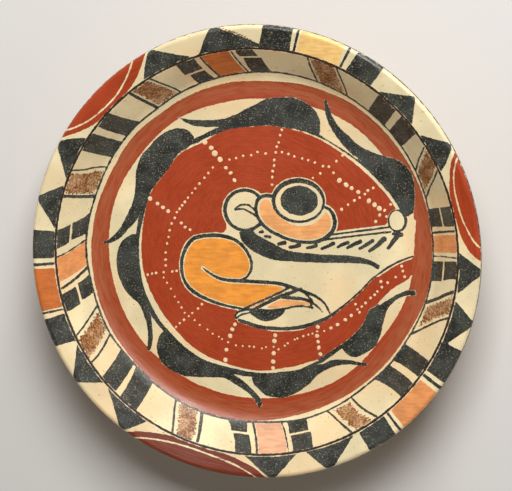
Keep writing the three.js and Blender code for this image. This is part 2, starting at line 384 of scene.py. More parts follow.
BACK_CREAM = (
    ((2, 1.6, -0.6), (10, 1.6, -0.9), (30, 1.3, -1.1), (40, 1.1, -1.5), (50, 0.7, -1.8),
        (70, 0.2, -1.8), (80, 0.2, -1.5), (90, 0.4, -1.1), (100, 0.8, -0.3), (110, 1.2, 0.3),
        (119, 0.7, 0.3)),
    ((186, -0.9, -1.4), (200, -1.7, -2.2), (212, -0.9, -1.4), (226, 0.9, 0.4)),
    ((283, 0.5, 0), (290, 0.5, -0.6), (300, 0.6, -1.2), (310, 0.5, -1.6), (320, 0.2, -1.9),
        (330, -0.3, -2.7), (340, -0.7, -4), (350, -1, -4.7), (370, -0.8, -5.3), (380, -0.8, -5.4),
        (390, -0.5, -4.9), (400, -0.5, -4.2), (410, -0.3, -4.2), (420, 0, -4), (430, 0.5, -2.6),
        (440, 0.9, -1.6), (450, 1, -0.8), (460, 0.3, -1.1), (475, 0, -2.2), (490, 0.2, -3),
        (503, 0.2, -3.3), (506, 0.2, -2.6), (514, 0, -1.8), (522, -0.3, -0.8)))
# the jaw's line: its widths, its path, and the stretches where cream is left beside it, each
# with its first and last point and the cream's width
JAW_WIDTHS = (1.3, 2.0, 1.6, 1.6, 1.8, 3.0, 3.3, 3.0, 3.3, 3.2)
JAW_LINE = smooth([
    (130, -1.8), (118.8, -6.3), (109.7, -11.3), (101.3, -17.2), (94.7, -22.2), (88, -29.7),
    (81.3, -36.3), (74.7, -42.2), (64.7, -50.5), (60.5, -53.8), (54.7, -57.2), (48, -60),
    (39.7, -63), (31.3, -65), (20.5, -66), (11.3, -66), (-0.3, -65), (-8.7, -62.6), (-17.4, -60)])
JAW_GLEAMS = ((1, 17, 3.6), (61, 78, 4.6))
MOUTH = np.vstack([JAW_LINE, [
    (-21, -58), (-14, -49), (-20, -20), (-22, 6), (-35, 13), (-30.5, 14.4), (-28.3, 17.4),
    (-28.3, 21.4), (-30, 26), (-12, 30), (6, 26), (40, 12), (66, 17.8), (106.3, 23.7), (112, 30),
    (119, 33), (124, 31.6), (129, 30), (132, 28), (131, 14)]])

PLUMES = {
    "top": joined(
        [(-60, 109), (-43.7, 108.7), (-31, 110), (-20.3, 113.7), (-10.3, 119), (3.4, 126),
         (10.5, 127.8), (25.5, 128.7), (33, 127), (39.7, 123.7), (44.7, 120), (48.8, 114.5),
         (51, 107.8), (50.5, 98.7), (49.7, 97)],
        [(39.7, 101), (20.5, 103.7), (6.3, 105.3), (-10.3, 105), (-22.8, 104), (-39.5, 102.8),
         (-52, 103.2), (-60, 105), (-72, 112)]),
    "crown": joined(
        [(58, 122), (60.5, 115.3), (66.3, 105.3), (74.7, 97.8), (83, 90.3), (92.2, 85.3),
         (104.7, 81.2), (114.7, 78.7), (123, 73.7), (129, 65), (131, 50), (130, 36), (129, 33.8),
         (124.6, 31), (120, 33)],
        [(108, 52), (96, 66), (84.3, 77.8), (77.2, 82.8), (68.8, 91.2), (60.5, 102.8),
         (56.3, 112.8), (54.3, 125.3), (56, 127)]),
    "left": joined(
        [(-60, 99.5), (-69.5, 101.6), (-79.5, 98.7), (-88.7, 92), (-94.5, 85.3), (-100.3, 79.5),
         (-103.7, 72), (-105.8, 65.3), (-106.6, 52), (-107.8, 42), (-111.2, 32.8), (-116.2, 22.8),
         (-121.2, 14.5), (-127.8, 7.8), (-134.9, 3.7)],
        [(-133.7, 2.2), (-127, 3.7), (-118.7, 8.7), (-112.8, 15.3), (-107, 21.2), (-102.8, 28),
         (-98, 40), (-86, 62), (-72, 79), (-55, 92.8)]),
    "lower left": joined(
        [(-111, 10.3), (-118.7, 4.5), (-122, -3), (-123.3, -12.2), (-122.4, -21.3), (-119.5, -29.7),
         (-115.3, -37.2), (-110.3, -43), (-104, -48), (-99.5, -58), (-97, -67.2), (-96.2, -75.5),
         (-97, -88)],
        [(-94.5, -88), (-92.2, -79.7), (-92.2, -70.5), (-93.4, -61), (-95.4, -53), (-97, -48)],
        [(-97, -38.8), (-100.3, -28), (-102.8, -14.7), (-103.7, -1.3), (-103.7, 9), (-106, 11.5)]),
    "bottom left": joined(
        [(-82.8, -71.3), (-86.2, -75.5), (-88.3, -81.3), (-88.3, -88.8), (-85.3, -97.2),
         (-81.2, -101.3), (-74.5, -105.5), (-64.5, -109.3), (-48, -109.7), (-39.5, -109.7),
         (-30.3, -110), (-22.8, -113.8), (-14.5, -118.8), (-7.8, -123.8), (-2.8, -130.5),
         (-0.3, -134.7)],
        [(2.2, -132.2), (1.3, -128), (-0.3, -124.7), (-7.8, -117.2), (-14.5, -111.3), (-22, -106.8)],
        [(-18.7, -103), (-31, -99), (-43.7, -94.7), (-56.2, -87.5), (-64.5, -81), (-72.8, -73),
         (-79.5, -69.5)]),
    "bottom": joined(
        [(-6.6, -108), (-5.3, -113.8), (-0.3, -118.8), (4.7, -123), (11.3, -125), (20.5, -125),
         (27.2, -122.6), (35.5, -118), (43.8, -111.3), (48, -106), (53, -102.2), (60.5, -98),
         (71.3, -95), (81.3, -95), (89.7, -96)],
        [(91.8, -93.4), (85.5, -92.6), (77.2, -91), (68.8, -90.7), (60.5, -91.8), (52.2, -95.5),
         (44, -96)],
        [(35.5, -98.4), (23, -102.2), (10.5, -103.8), (-6.6, -105)]),
    "right": joined(
        [(73, -77.2), (81.3, -69.7), (89.7, -59.7), (94.5, -50)],
        [(98, -46.3), (106.3, -40.5), (114.7, -35.5), (123, -31.3), (131.3, -30.5)],
        [(131.8, -34.7), (123, -35.5), (116.3, -38.8), (111.3, -43), (108, -48), (104.7, -58.8),
         (102.2, -69.7), (98, -78.8), (91.3, -83.8), (85.5, -87.2), (79.7, -88.4), (73.8, -85.5),
         (70, -81)]),
}

# Scroll at the back of the jaws; each brushed line is its widths, then its path
SCROLL_BACK = (
    (3.2, 3.5, 2.9, 2.7, 3.4, 2.9, 2.3, 2.0),
    smooth([(-48, 11), (-55.5, 9), (-60.5, 4.5), (-64.2, -2), (-66.3, -9), (-66.8, -16),
        (-65.7, -23.5), (-62.6, -30.5), (-57, -36.3), (-47.5, -41.6), (-35.3, -46), (-24.5, -48.6),
        (-14.5, -50)]))
SCROLL_EYE = (
    (3.2, 3.4, 3.1, 2.6, 2.4, 2.1, 1.5),
    smooth([(-48, 11), (-37, 11.8), (-27, 10.4), (-18.7, 6.8), (-12, 0.3), (-7.6, -8), (-7, -15.5),
        (-10.3, -22.2), (-16, -25.6)]))
SCROLL_LIP = (
    (1.4, 2.6, 3.2, 3.1, 3.0, 3.1, 2.8, 2.3, 1.6),
    smooth([(-48.7, -16), (-42, -20.8), (-35.3, -24.2), (-27.8, -26), (-14, -26.4), (10.5, -27.2),
        (21.3, -28.9), (31.3, -31.8), (39.7, -34.6), (48, -38), (54.7, -43), (58.4, -48.8),
        (59.9, -52.6)]))
SCROLL = np.vstack([SCROLL_BACK[1], [(5, -41), (23, -31.3), (20, -28.2), (8, -27.6), (-16, -27)],
                    SCROLL_EYE[1][::-1]])
LIP_GAP = [(16, -36), (27, -29.5), (34, -32), (20, -38)]
SLANT_FILL = [
    (-12, -50), (-5, -46), (5, -41.2), (15, -36.4), (18, -36.8), (9, -41.6), (0, -46), (-5, -50)]
LENS_FILL = smooth([
    (5.4, -48.9), (9, -46), (13.4, -43.6), (20, -41.4), (30, -42), (38, -42.6), (43.5, -44),
    (40, -46), (30, -46.3), (20, -47.5), (10, -49.4)])
LENS_LINES = (
    (2.0, smooth([(-14, -50.5), (-5, -46), (5, -41.2), (15, -36.4), (22, -32.6), (27, -30.2)])),
    ((2.4, 3.0, 3.2, 2.4), smooth([(-6, -50.6), (4.5, -45.4), (12, -41.4), (20, -37.8), (29, -34.4),
        (35, -31.8)])),
    ((2.2, 3.0, 2.6), smooth([(19, -39.4), (26, -39.8), (33, -40), (39, -41), (44.6, -42.8)])),
    (1.9, smooth([(-14, -50.4), (-4, -50.6), (8, -50.6), (16, -49.8), (23, -48.6), (30, -47),
        (37.5, -46.4), (45, -47.6)])),
    (1.9, smooth([(33, -32.4), (38, -35.2), (42.4, -38.8), (44.6, -42.4), (43.2, -47)])),
    ((2.0, 1.5), smooth([(44.6, -43), (48.4, -45.6), (51.4, -48.4), (53.4, -51)])),
    (1.7, smooth([(-20, -58.5), (-20.6, -55.4), (-18.2, -52.8), (-12.5, -51), (-9, -50.8)])),
    (1.7, smooth([(-19.4, -58.2), (-16.2, -55.4), (-9, -53.3)])))
HALF_PUPIL = joined(
    [(-7.5, -54.5), (-1, -58.6), (6, -60), (14, -58), (19.5, -54), (22.5, -49.5)],
    [(8, -50), (-9.5, -50)])

# Head: ear, crescent, eye, jaw band, teeth, snout and nostril; each disc is its slip, centre,
# half width and half height
EAR = (("cream", (-12.5, 33.5), 19.6, 19.3), ("black", (-12.5, 33.5), 18.6, 18.3),
       ("cream", (-12.5, 33.5), 15.4, 15.5))
EAR_LEAF = (
    (1.8, smooth([(-21, 34.2), (-16.7, 37.5), (-10.5, 38.2), (-6.6, 35.9), (-3.6, 33)])),
    (1.8, smooth([(-20.5, 33.8), (-14.5, 34.5), (-9.5, 32.6), (-3, 28.8)])))
CRESCENT = joined(
    [(3.8, 42.6), (0.6, 38.6), (0, 33), (1.8, 27.4), (6.8, 21.4), (15, 16.2), (25, 12.2),
     (35, 10.1), (45, 10.3), (54, 13.5), (59.4, 19), (60.5, 25.4), (58.6, 31), (55.6, 33.4),
     (52.5, 31.8)],
    [(47.4, 26), (38, 22), (28, 22.4), (19.5, 26.6), (13.2, 33), (8, 42.8)])
CRESCENT_LINE = (
    (3.2, 2.9, 2.8, 2.8, 2.8, 2.8, 3.2, 3.5, 3.4, 2.6),
    smooth([(12, 45.6), (5, 46), (-0.6, 43.6), (-3, 38.4), (-3, 33), (-1.2, 27.3), (2.9, 21.6),
        (9.3, 16.6), (18, 12.2), (28, 9), (38, 7.6), (48, 8.3), (56, 11.9), (61.6, 17.4),
        (63.6, 24.2), (62.2, 31.2), (59, 35.6), (55, 37.6)]))
# cream beside the crescent's line: up to this point, and from this one before its end
CRESCENT_CREAM = (8, -34)
EYE_GROUND = ("cream", (32.8, 42.4), 23.5, 19.8)
EYE = (("black", (32.8, 42.4), 22.6, 18.9), ("cream", (33.3, 41.5), 19.9, 15.7),
       ("black", (33.5, 42.5), 15.9, 12.6))
GLEAM_WIDTHS = (1.2, 2.8, 3.2, 3.2, 2.4)
EYE_GLEAM = smooth([(21, 26.4), (31, 22.9), (42, 23.8), (50, 28.4), (54, 33)])
JAW_BAND = joined(
    [(-7, 16.6), (-1, 12.2), (8, 7.8), (18.8, 2.4), (28, -0.4), (39.7, -1.4), (52, -2.2),
     (77.2, -2.8), (87.2, -4.3), (94.7, -6.8), (101.8, -10.5)],
    [(100, -13.6), (93, -10.4), (81.3, -9), (65, -9.2), (48, -9.4), (23, -8.8), (10.5, -7.6),
     (-0.3, -3.8), (-8.7, 1.2), (-15.3, 8), (-17.5, 15)])
# each tooth: widths at its foot and top, then foot, middle and top
TEETH = (
    ((2.2, 2.6), (0.2, 15.2), (1.4, 15.5), (2.4, 15.8)),
    ((2.4, 2.9), (4.6, 11.8), (6.6, 11.6), (8.8, 11.3)),
    ((3.0, 3.6), (16.2, 5.8), (19, 6.2), (21.4, 6.9)),
    ((3.0, 3.6), (26, 3.2), (30, 3.8), (33.8, 4.8)),
    ((2.6, 3.2), (40.6, 3), (44.6, 3.8), (48, 5)),
    ((2.4, 3.4), (52.8, 2.6), (58, 4.8), (62.6, 7.2)),
    ((2.6, 3.2), (66.4, 4.2), (70, 6.4), (74.6, 8)),
    ((2.8, 3.6), (74.6, 3.8), (80, 7), (85, 9.2)),
    ((2.6, 3.6), (84.8, 3.4), (90.4, 6.8), (95.4, 10.2)),
    ((2.8, 4.6), (93, 1.6), (99.4, 6.4), (105.2, 12)),
    ((2.8, 5.0), (108.6, 4.2), (112.4, 9.4), (117, 15.8)),
    ((2.4, 4.0), (112.6, 16.2), (116, 17), (119.6, 15.8)))
SNOUT_LINES = (
    (1.7, [(60.5, 14.4), (80, 17.4), (109, 21.8)]),
    (1.8, [(48, 8.7), (58, 10.6), (81.3, 14), (110.5, 18)]))
NOSTRIL = (("black", (116.3, 27.4), 8.4, 9.6), ("cream", (115.8, 27.4), 6.3, 8.0))


def paint_floor(paint):
    """Ring, plumes, serpent and head, in the order in which they lie on each other."""
    paint.area("red", RING_OUTSIDE)
    paint.area("cream", RING_INSIDE)
    for plume in PLUMES.values():
        paint.area("black", plume)
    paint.area("red", np.vstack([BODY_BACK, BODY_END]))
    paint.area("black", beside(BODY_BACK, BACK_BLACK))
    for line in BACK_CREAM:
        paint.area("cream", beside(BODY_BACK, line))
    for first, last, width in JAW_GLEAMS:
        paint.stroke("cream", JAW_LINE[first:last], width)
    paint.area("cream", MOUTH)
    paint_scroll(paint)
    paint.stroke("black", JAW_LINE, JAW_WIDTHS)
    paint_head(paint)


def paint_scroll(paint):
    paint.area("orange", SCROLL)
    paint.lines(0.8, SCROLL_BACK, SCROLL_EYE, SCROLL_LIP)
    paint.area("cream", LIP_GAP)
    paint.area("peach", SLANT_FILL)
    paint.area("peach", LENS_FILL)
    paint.lines(0, *LENS_LINES, SCROLL_BACK, SCROLL_LIP)
    paint.area("black", HALF_PUPIL)


def paint_head(paint):
    paint.discs(*EAR)
    paint.lines(0, *EAR_LEAF)
    widths, path = CRESCENT_LINE
    first, last = CRESCENT_CREAM
    paint.stroke("cream", path[:first], 5)
    paint.stroke("cream", path[last:], widths[-4:], 1.0)
    paint.discs(EYE_GROUND)
    paint.area("cream", np.vstack([path, [(33, 42)]]))
    paint.area("peach", CRESCENT)
    paint.stroke("cream", EYE_GLEAM, GLEAM_WIDTHS)
    paint.lines(0, CRESCENT_LINE)
    paint.discs(*EYE)
    paint.area("black", JAW_BAND)
    for widths, *path in TEETH:
        paint.stroke("black", smooth(path), widths)
    paint.lines(0, *SNOUT_LINES)
    paint.discs(*NOSTRIL)


# The wall's painting: angles at the mouth and at the foot of each slanted block

# radii of the band's top and foot, and how far the painting runs on below
WALL = (170.5, 147.5, 0.13)
# each orange block: angles at the mouth and at the foot, then the line on either side
WALL_ORANGE = (
    ("amber", (6.7, 1.6), (6.1, 0.7), (1.8, 7.8, 7.1), (1.1, 0.2, -0.4)),
    ("rust", (105.3, 97.5), (102.1, 93.6), (1.8, 105.7, 102.4), (1.4, 96.8, 92.7)),
    ("amber", (189.5, 182.8), (185.6, 177.5), (2.4, 191.6, 186.3), (1.3, 182.4, 177)),
    # the lower block's pinkish orange is painted sheen, the red ring's reflection on it
    ("pink", (279.6, 271.3), (277.2, 268.7), (1.2, 280, 277.6), (1.9, 270.8, 268)))
# each pair: radius of the line between its blocks, then upper and lower block
WALL_STEPS = (
    (158.5, (14.9, 9.1), (14.9, 9.1), (14.9, 9.1), (14.9, 9.1)),
    (163.0, (95.6, 90.6), (94.6, 89.2), (93.8, 88.4), (91.8, 84.7)),
    (158.3, (112.9, 107.4), (112.4, 106.5), (111.1, 106.3), (110, 104.1)),
    (160.0, (180, 174.5), (178.3, 172.7), (177.5, 172.2), (175, 168.3)),
    (158.0, (198.4, 193.1), (197.4, 191.8), (196.5, 191.1), (195.2, 188.8)),
    (155.5, (269.3, 264.5), (267.4, 262.4), (266.6, 261.6), (265.9, 259.3)),
    (157.0, (287.2, 281.3), (287, 280.6), (286.3, 280.1), (285.9, 279.4)),
    (157.0, (359.3, 354.3), (358.5, 352.7), (358.3, 352.2), (357.9, 351.3)))
WALL_PAIRS = (
    ((52.4, 45.9), (52.4, 45.2)), ((43.6, 37.4), (43.1, 36.6)), ((150.2, 144.3), (148.8, 142.5)),
    ((142, 136.8), (140.2, 133.6)), ((233.3, 227.2), (231.5, 223.8)),
    ((225.2, 219.5), (222.7, 216.1)), ((329.7, 324.3), (328.6, 322)),
    ((322, 316.8), (319.9, 313.3)))
# scribbled panels: the line at either side, as its width, its angles from the mouth to the
# foot, and the cream left clear beside it in mm
WALL_HATCH = (
    ((1.5, (33.3, 31.6, 29.9, 27), 2), (1.5, (25.8, 23.4, 21.3, 18), 2)),
    ((1.6, (74.9, 73.8, 72, 69.9), 1.6), (1.5, (66.5, 64.1, 61.6, 59.7), 2)),
    ((2.8, (128.6, 127.9, 127.1, 126.2), 1.4), (1.6, (121.6, 119.9, 118.1, 116.6), 1.8)),
    ((2.8, (164.5, 164.2, 163.7, 163), 1.3), (1.5, (156.8, 155.6, 153.8, 152.4), 2.8)),
    ((1.6, (214.5, 213.6, 212, 209.7), 3.6), (1.6, (205.8, 204.1, 202, 199.5), 2.6)),
    ((2.6, (253.2, 252.6, 251.6, 250.5), 2.4), (1.7, (245.6, 244.1, 242.4, 240.9), 3)),
    ((1.7, (308.1, 305.9, 304.1, 302.9), 3.2), (1.7, (299.5, 297.4, 295.6, 293.6), 2.8)),
    ((2.6, (351, 349, 346.6, 344.3), 2.2), (1.7, (343.4, 340.9, 337.7, 333.8), 2.2)))
# the scribble stops this many points down its lines, short of the foot
HATCH_END = 15
WALL_HEIGHTS = (170.4, 162.2, 154.9, 147.5, 144.5)


def wall_line(angles):
    """A line down the wall through four angles, drawn on past the foot line."""
    last = angles[-1] + 0.4 * (angles[-1] - angles[-2])
    return smooth(polar(zip((*angles, last), WALL_HEIGHTS)))


def paint_wall(paint):
    high, low, past = WALL
    for slip, outer, inner, *lines in WALL_ORANGE:
        paint.area(slip, block(outer, inner, *WALL))
        for width, top, foot in lines:
            paint.stroke("black", slant(top, foot, *WALL), width)
    for middle, top, top_foot, foot_top, foot in WALL_STEPS:
        paint.area("black", block(top, top_foot, high, middle + 0.7))
        paint.area("black", block(foot_top, foot, middle - 0.7, low, 2 * past))
    for outer, inner in WALL_PAIRS:
        paint.area("black", block(outer, inner, *WALL))
    for sides in WALL_HATCH:
        lines = [wall_line(angles) for _, angles, _ in sides]
        paint.area("hatch", np.vstack([lines[0][:HATCH_END], lines[1][:HATCH_END][::-1]]))
        for (width, _, clear), line in zip(sides, lines):
            paint.stroke("cream", line, width, clear)
        for (width, _, _), line in zip(sides, lines):
            paint.stroke("black", line, width)


# The rim's painting

RIM = (196.0, 169.0)
# each half-disc: its slip, its edge from end to end, then the thin line inside it
HALF_DISCS = (
    ("red",
     [(28.2, 190.5), (27.4, 188), (25.6, 182), (22, 175.8), (18.4, 171.9), (14.9, 170.8),
      (9.9, 171.7), (5.6, 174.4), (2.4, 179.4), (0.2, 186.5), (-0.4, 191)],
     [(26.6, 191.5), (25.7, 187.4), (22.8, 180.8), (19.1, 177), (14.9, 176), (11.3, 176.7),
      (8, 179.6), (5.5, 183), (3.4, 188), (2.7, 193)]),
    ("red",
     [(150.5, 191), (149.6, 188.6), (147.7, 183.3), (145.2, 177.6), (142.7, 173.6),
      (139.9, 171.2), (134.7, 170.5), (129.5, 171), (126.3, 173.6), (123.4, 177.6),
      (120.9, 183.3), (119, 188.6), (118.4, 191)],
     [(148.2, 192), (147.2, 188), (145.2, 183.3), (142.4, 178.6), (139.1, 175.8),
      (134.9, 174.6), (131.6, 175.4), (128.8, 177.9), (125.6, 182.6), (123.1, 188.3),
      (122.2, 192)]),
    ("maroon",
     [(273.8, 191), (272.9, 188.3), (270.6, 182), (267.3, 177), (263.5, 173.3),
      (259.1, 171), (252.7, 170.5), (247, 171.3), (243.4, 173.6), (239.9, 177.9),
      (237, 182.6), (235, 188), (234.2, 191)],
     [(271.2, 192), (269.9, 187.6), (267.4, 183.3), (264.5, 179.7), (260.6, 176.9),
      (255.9, 175.3), (252, 174.9), (247.7, 176.1), (243.4, 179.4), (240.2, 183.3),
      (237.7, 187.9), (236.5, 192)]))
# apex angle, radius and half width, then each side's angle at the mouth and fullness in mm
TRIANGLES = (
    (29.9, 189.4, 1.0, (37.4, -0.3), (24.3, 1.2)),
    (44.9, 188.8, 0.6, (54.4, -1), (39.2, 0)),
    (100.3, 190.4, 1.1, (106.2, 0.6), (85.2, 2.6)),
    (117.4, 189.6, 0.9, (123.8, 0.5), (106.4, -0.8)),
    (151.5, 189.4, 1.0, (160.6, 0), (146, 1.2)), (166.6, 190, 0.6, (175.2, 0), (160.8, 0.3)),
    (215.7, 189.9, 0.8, (221.7, 0.4), (206.4, -0.3)),
    (233.1, 189.4, 0.9, (238, 0.4), (220.8, -0.9)),
    (274.8, 191, 0.6, (283.3, 0), (266.2, 0)), (290.1, 191, 0.7, (300.8, 0), (284.2, 0.3)),
    (343.7, 191, 0.7, (348.9, 0.3), (332.5, 0)),
    (356.9, 191, 0.7, (362.2, 0.2), (348.9, -0.3)))
# radius on which the triangles stand, under the line round the mouth
TRIANGLE_BASE = 168.0
# blocks and lines: slip, two angles at the lip, two at the mouth
RIM_BLOCKS = (
    ("black", (62.7, 55.3), (63.8, 55.6)), ("black", (65.3, 64.6), (65.8, 65.1)),
    # this pale yellow-orange block's tint is a painted highlight for the sheen on it
    ("sheen_apricot", (77.7, 66.5), (78.4, 66.1)), ("black", (78.9, 78.2), (79.4, 78.7)),
    ("black", (87.5, 80), (89, 80.2)), ("black", (182.4, 174.9), (182.4, 174.9)),
    ("black", (184.4, 183.6), (184.4, 183.6)), ("rust", (196.1, 185), (196.6, 185.4)),
    ("black", (197, 196.4), (197.6, 197)), ("black", (205.6, 198.4), (207, 198.4)),
    ("black", (309.1, 301.3), (309.5, 300.9)), ("black", (311.1, 310.4), (311.1, 310.4)),
    ("amber", (324.1, 312), (324.1, 312)), ("black", (326.1, 325.2), (326.1, 325.2)),
    ("black", (336.5, 327.2), (336.5, 327.2)))

# a smear of the brown slip under the widest triangle
SMEAR = polar([(98.7, 187.8), (96.6, 184.6), (94.6, 181.2), (92.2, 177.6), (90, 175)])


def triangle(apex, radius, blunt, *sides):
    """A triangle that stands on the mouth, with a blunt tip and sides that bulge or sag."""
    runs = []
    for way, (angle, full) in zip((1, -1), sides):
        foot = np.array(at(angle, MOUTH_LINE - 1))
        tip = np.array(at(apex + way * blunt, radius - 0.9))
        middle = (foot + tip) / 2
        out = middle - np.array(at(apex, np.hypot(*middle)))
        runs.append(smooth([foot, middle + full * out / np.hypot(*out), tip]))
    left, right = runs
    base = arc(sides[1][0], sides[0][0], TRIANGLE_BASE)
    return np.vstack([left, [at(apex, radius)], right[::-1], base])


def arc(start, end, radius):
    """Points every few degrees round the plate's axis."""
    count = max(2, int(abs(end - start) / 2) + 2)
    return [at(start + (end - start) * s, radius) for s in np.linspace(0, 1, count)]


def paint_rim(paint):
    high, low = RIM
    for slip, edge, line in HALF_DISCS:
        lip = arc(edge[-1][0], edge[0][0], high)
        paint.area(slip, np.vstack([smooth(polar(edge)), lip]))
        paint.stroke("cream", smooth(polar(line)), 1.3)
    for slip, outer, inner in RIM_BLOCKS:
        paint.area(slip, block(outer, inner, high, low))
    paint.stroke("hatch", SMEAR, (2.6, 4, 4, 3.6, 2.2))
    for corner in TRIANGLES:
        paint.area("black", triangle(*corner))
    paint.stroke("edge", circle(LIP_LINE), LIP_WIDTH)


def circle(radius):
    return closed_path(oval((0, 0), radius, radius, 180))


def painted(spots):
    """Slip fields for plan positions on the plate's upper side, painted from the rim inwards."""
    paint = Painting(spots)
    radius = np.hypot(*spots.T)
    paint_rim(paint)
    # a line of cream outside the mouth's line, round the near half: a painted highlight where the
    # mouth's rounded edge catches the light
    paint.stroke("cream", arc(184, 357, MOUTH_LINE + 1.1), 1.0)
    paint.enter(MOUTH_LINE - radius)
    paint_wall(paint)
    paint.enter(depth_inside(spots, FOOT_LINE))
    paint_floor(paint)
    paint.zone = np.full(len(spots), REACH)
    paint.stroke("black", closed_path(FOOT_LINE), FOOT_WIDTH)
    paint.stroke("edge", circle(MOUTH_LINE), MOUTH_WIDTH)
    return paint.fields


# Meshes


def rounded(corners, spacing):
    """A section through corners (radius, height, rounding), as points at an even spacing."""
    corners = [np.array(c, float) for c in corners]
    points = [corners[0][:2]]
    for before, here, after in zip(corners, corners[1:], corners[2:]):
        into = before[:2] - here[:2]
        out = after[:2] - here[:2]
        into /= np.hypot(*into)
        out /= np.hypot(*out)
        half = math.acos(np.clip(into @ out, -1, 1)) / 2
        size = here[2]
        if size <= 0:
            points.append(here[:2])
            continue
        reach = size / math.tan(half)
        middle = into + out
        middle = here[:2] + middle / np.hypot(*middle) * size / math.sin(half)
        start, end = here[:2] + into * reach - middle, here[:2] + out * reach - middle
        turn = math.pi - 2 * half
        count = max(4, math.ceil(turn * size / spacing))
        for share in np.linspace(0, 1, count + 1):
            arm = (math.sin((1 - share) * turn) * start + math.sin(share * turn) * end)
            points.append(middle + arm / math.sin(turn))
    points.append(corners[-1][:2])
    return spread(np.array(points), spacing)


def spread(points, spacing):
    """Adds points to the longer straight pieces of a section."""
    out = [points[0]]
    for a, b in zip(points, points[1:]):
        count = max(1, math.ceil(np.hypot(*(b - a)) / spacing))
        out.extend(a + (b - a) * k / count for k in range(1, count + 1))
    return np.array(out)


def cut(section, radius, rising):
    """Splits a section where it first passes a radius, going outwards or inwards."""
    for k in range(len(section) - 1):
        a, b = section[k], section[k + 1]
        if (a[0] < radius <= b[0]) if rising else (a[0] > radius >= b[0]):
            point = a + (b - a) * (radius - a[0]) / (b[0] - a[0])
            first, second = section[:k + 1], section[k + 1:]
            return np.vstack([first, point]), np.vstack([point, second])
    raise ValueError(f"the section never passes radius {radius}")


# lobes of the lip: each one's share, how many go round, and the angle of the first in degrees
LOBES = ((0.65, 3, 82), (0.35, 2, 113))
LOBES_PEAK = 0.85
SAG_TURN = 0.6


def hand_made(points):
    """Moves points, in mm, as the potter's hand did: a three-lobed lip that isn't quite level."""
    size = sizes()
    x, y, z = points.T
    radius = np.maximum(np.hypot(x, y), 1e-9)
    angle = np.arctan2(y, x)
    share = (radius * MM / size.lip_radius) ** 4
    lobes = sum(part * np.cos(count * (angle - math.radians(first)))
                for part, count, first in LOBES)
    pull = size.out_of_round / MM / 2 * (LOBES_PEAK - lobes) * share
    drop = size.lip_sag / MM / 2 * (1 - np.sin(2 * angle + SAG_TURN)) * share
    keep = (radius - pull) / radius
    return np.column_stack([x * keep, y * keep, z - drop])


def volume(points, faces):
    """Six times the volume inside the faces; negative when they point inwards."""
    total = 0.0
    for size in (3, 4):
        group = np.array([f for f in faces if len(f) == size])
        if len(group):
            for k in range(1, size - 1):
                a, b, c = (points[group[:, i]] for i in (0, k, k + 1))
                total += np.einsum("ij,ij->", a, np.cross(b, c))
    return total


def add_object(name, data):
    """A new object at the origin, linked into the scene."""
    thing = bpy.data.objects.new(name, data)
    bpy.context.scene.collection.objects.link(thing)
    return thing


def new_mesh(name, points, faces):
    """A mesh from points in mm."""
    mesh = bpy.data.meshes.new(name)
    mesh.from_pydata((points * MM).tolist(), [], faces)
    return mesh


def make_object(name, points, faces, materials, sharp=35.0):
    """A smooth-shaded object at the origin from points in mm."""
    if volume(points, faces) < 0:
        faces = [face[::-1] for face in faces]
    mesh = new_mesh(name, points, [tuple(f) for f in faces])
    mesh.validate()
    for material in materials:
        mesh.materials.append(material)
    mesh.shade_smooth()
    mesh.set_sharp_from_angle(angle=math.radians(sharp))
    return add_object(name, mesh)


def ring_faces(rows, turn, closed):
    """Quads between rings of turn points each."""
    k = np.arange(turn)
    after = (k + 1) % turn
    faces = []
    for row in range(rows if closed else rows - 1):
        low, high = row * turn, ((row + 1) % rows) * turn
        faces.extend(np.column_stack([low + k, low + after, high + after, high + k]).tolist())
    return faces


def spin(section, turn):
    """Points of a section turned round the plate's axis, ring after ring."""
    angle = np.arange(turn) * 2 * math.pi / turn
    around = np.column_stack([np.cos(angle), np.sin(angle)])
    rings = [np.column_stack([around * r, np.full(turn, z)]) for r, z in section]
    return np.vstack(rings)


def disc_grid(radius, height, count):
    """A flat disc of count by count quads of equal area, with its edge points in order."""
    line = np.linspace(-1, 1, count + 1)
    a, b = (grid.ravel() for grid in np.meshgrid(line, line, indexing="ij"))
    wide = np.abs(a) >= np.abs(b)
    far = np.where(wide, a, b)
    side = np.divide(np.where(wide, b, a), far, out=np.zeros_like(far), where=far != 0)
    angle = np.where(wide, side * math.pi / 4, math.pi / 2 - side * math.pi / 4)
    points = np.column_stack([radius * far * np.cos(angle), radius * far * np.sin(angle),
                              np.full(len(a), float(height))])
    index = np.arange((count + 1) ** 2).reshape(count + 1, count + 1)
    faces = np.stack([index[:-1, :-1], index[1:, :-1], index[1:, 1:], index[:-1, 1:]], -1)
    edge = np.unique(np.concatenate([index[0], index[-1], index[:, 0], index[:, -1]]))
    turn = 4 * count
    place = np.arctan2(points[edge, 1], points[edge, 0]) / (2 * math.pi) * turn
    order = np.empty(turn, int)
    order[np.round(place).astype(int) % turn] = edge
    return points, faces.reshape(-1, 4).tolist(), order


def make_dish_piece(name, points, faces, painted_faces, spots):
    """A hand-made piece with its painting: spots are its first points' places in the drawing."""
    thing = make_object(name, hand_made(points), faces,
                        [once(painted_slip), once(burnished_clay)])
    mesh = thing.data
    for slip, values in painted(spots).items():
        whole = np.full(len(mesh.vertices), -REACH)
        whole[:len(spots)] = values
        mesh.attributes.new(slip, "FLOAT", "POINT").data.foreach_set("value", whole)
    mesh.polygons.foreach_set("material_index", np.where(painted_faces, 0, 1))
    return thing


def write_map(mesh, upper, under, painted_faces):
    """A bake map: each corner takes its point's place on the upper or the under layout."""
    layer = mesh.uv_layers.new(name="OFBake")
    corner_point = np.empty(len(mesh.loops), int)
    mesh.loops.foreach_get("vertex_index", corner_point)
    sides = np.empty(len(mesh.polygons), int)
    mesh.polygons.foreach_get("loop_total", sides)
    is_upper = np.repeat(painted_faces, sides)
    spots = np.where(is_upper[:, None], upper[corner_point], under[corner_point])
    layer.uv.foreach_set("vector", spots.astype(np.float32).ravel())


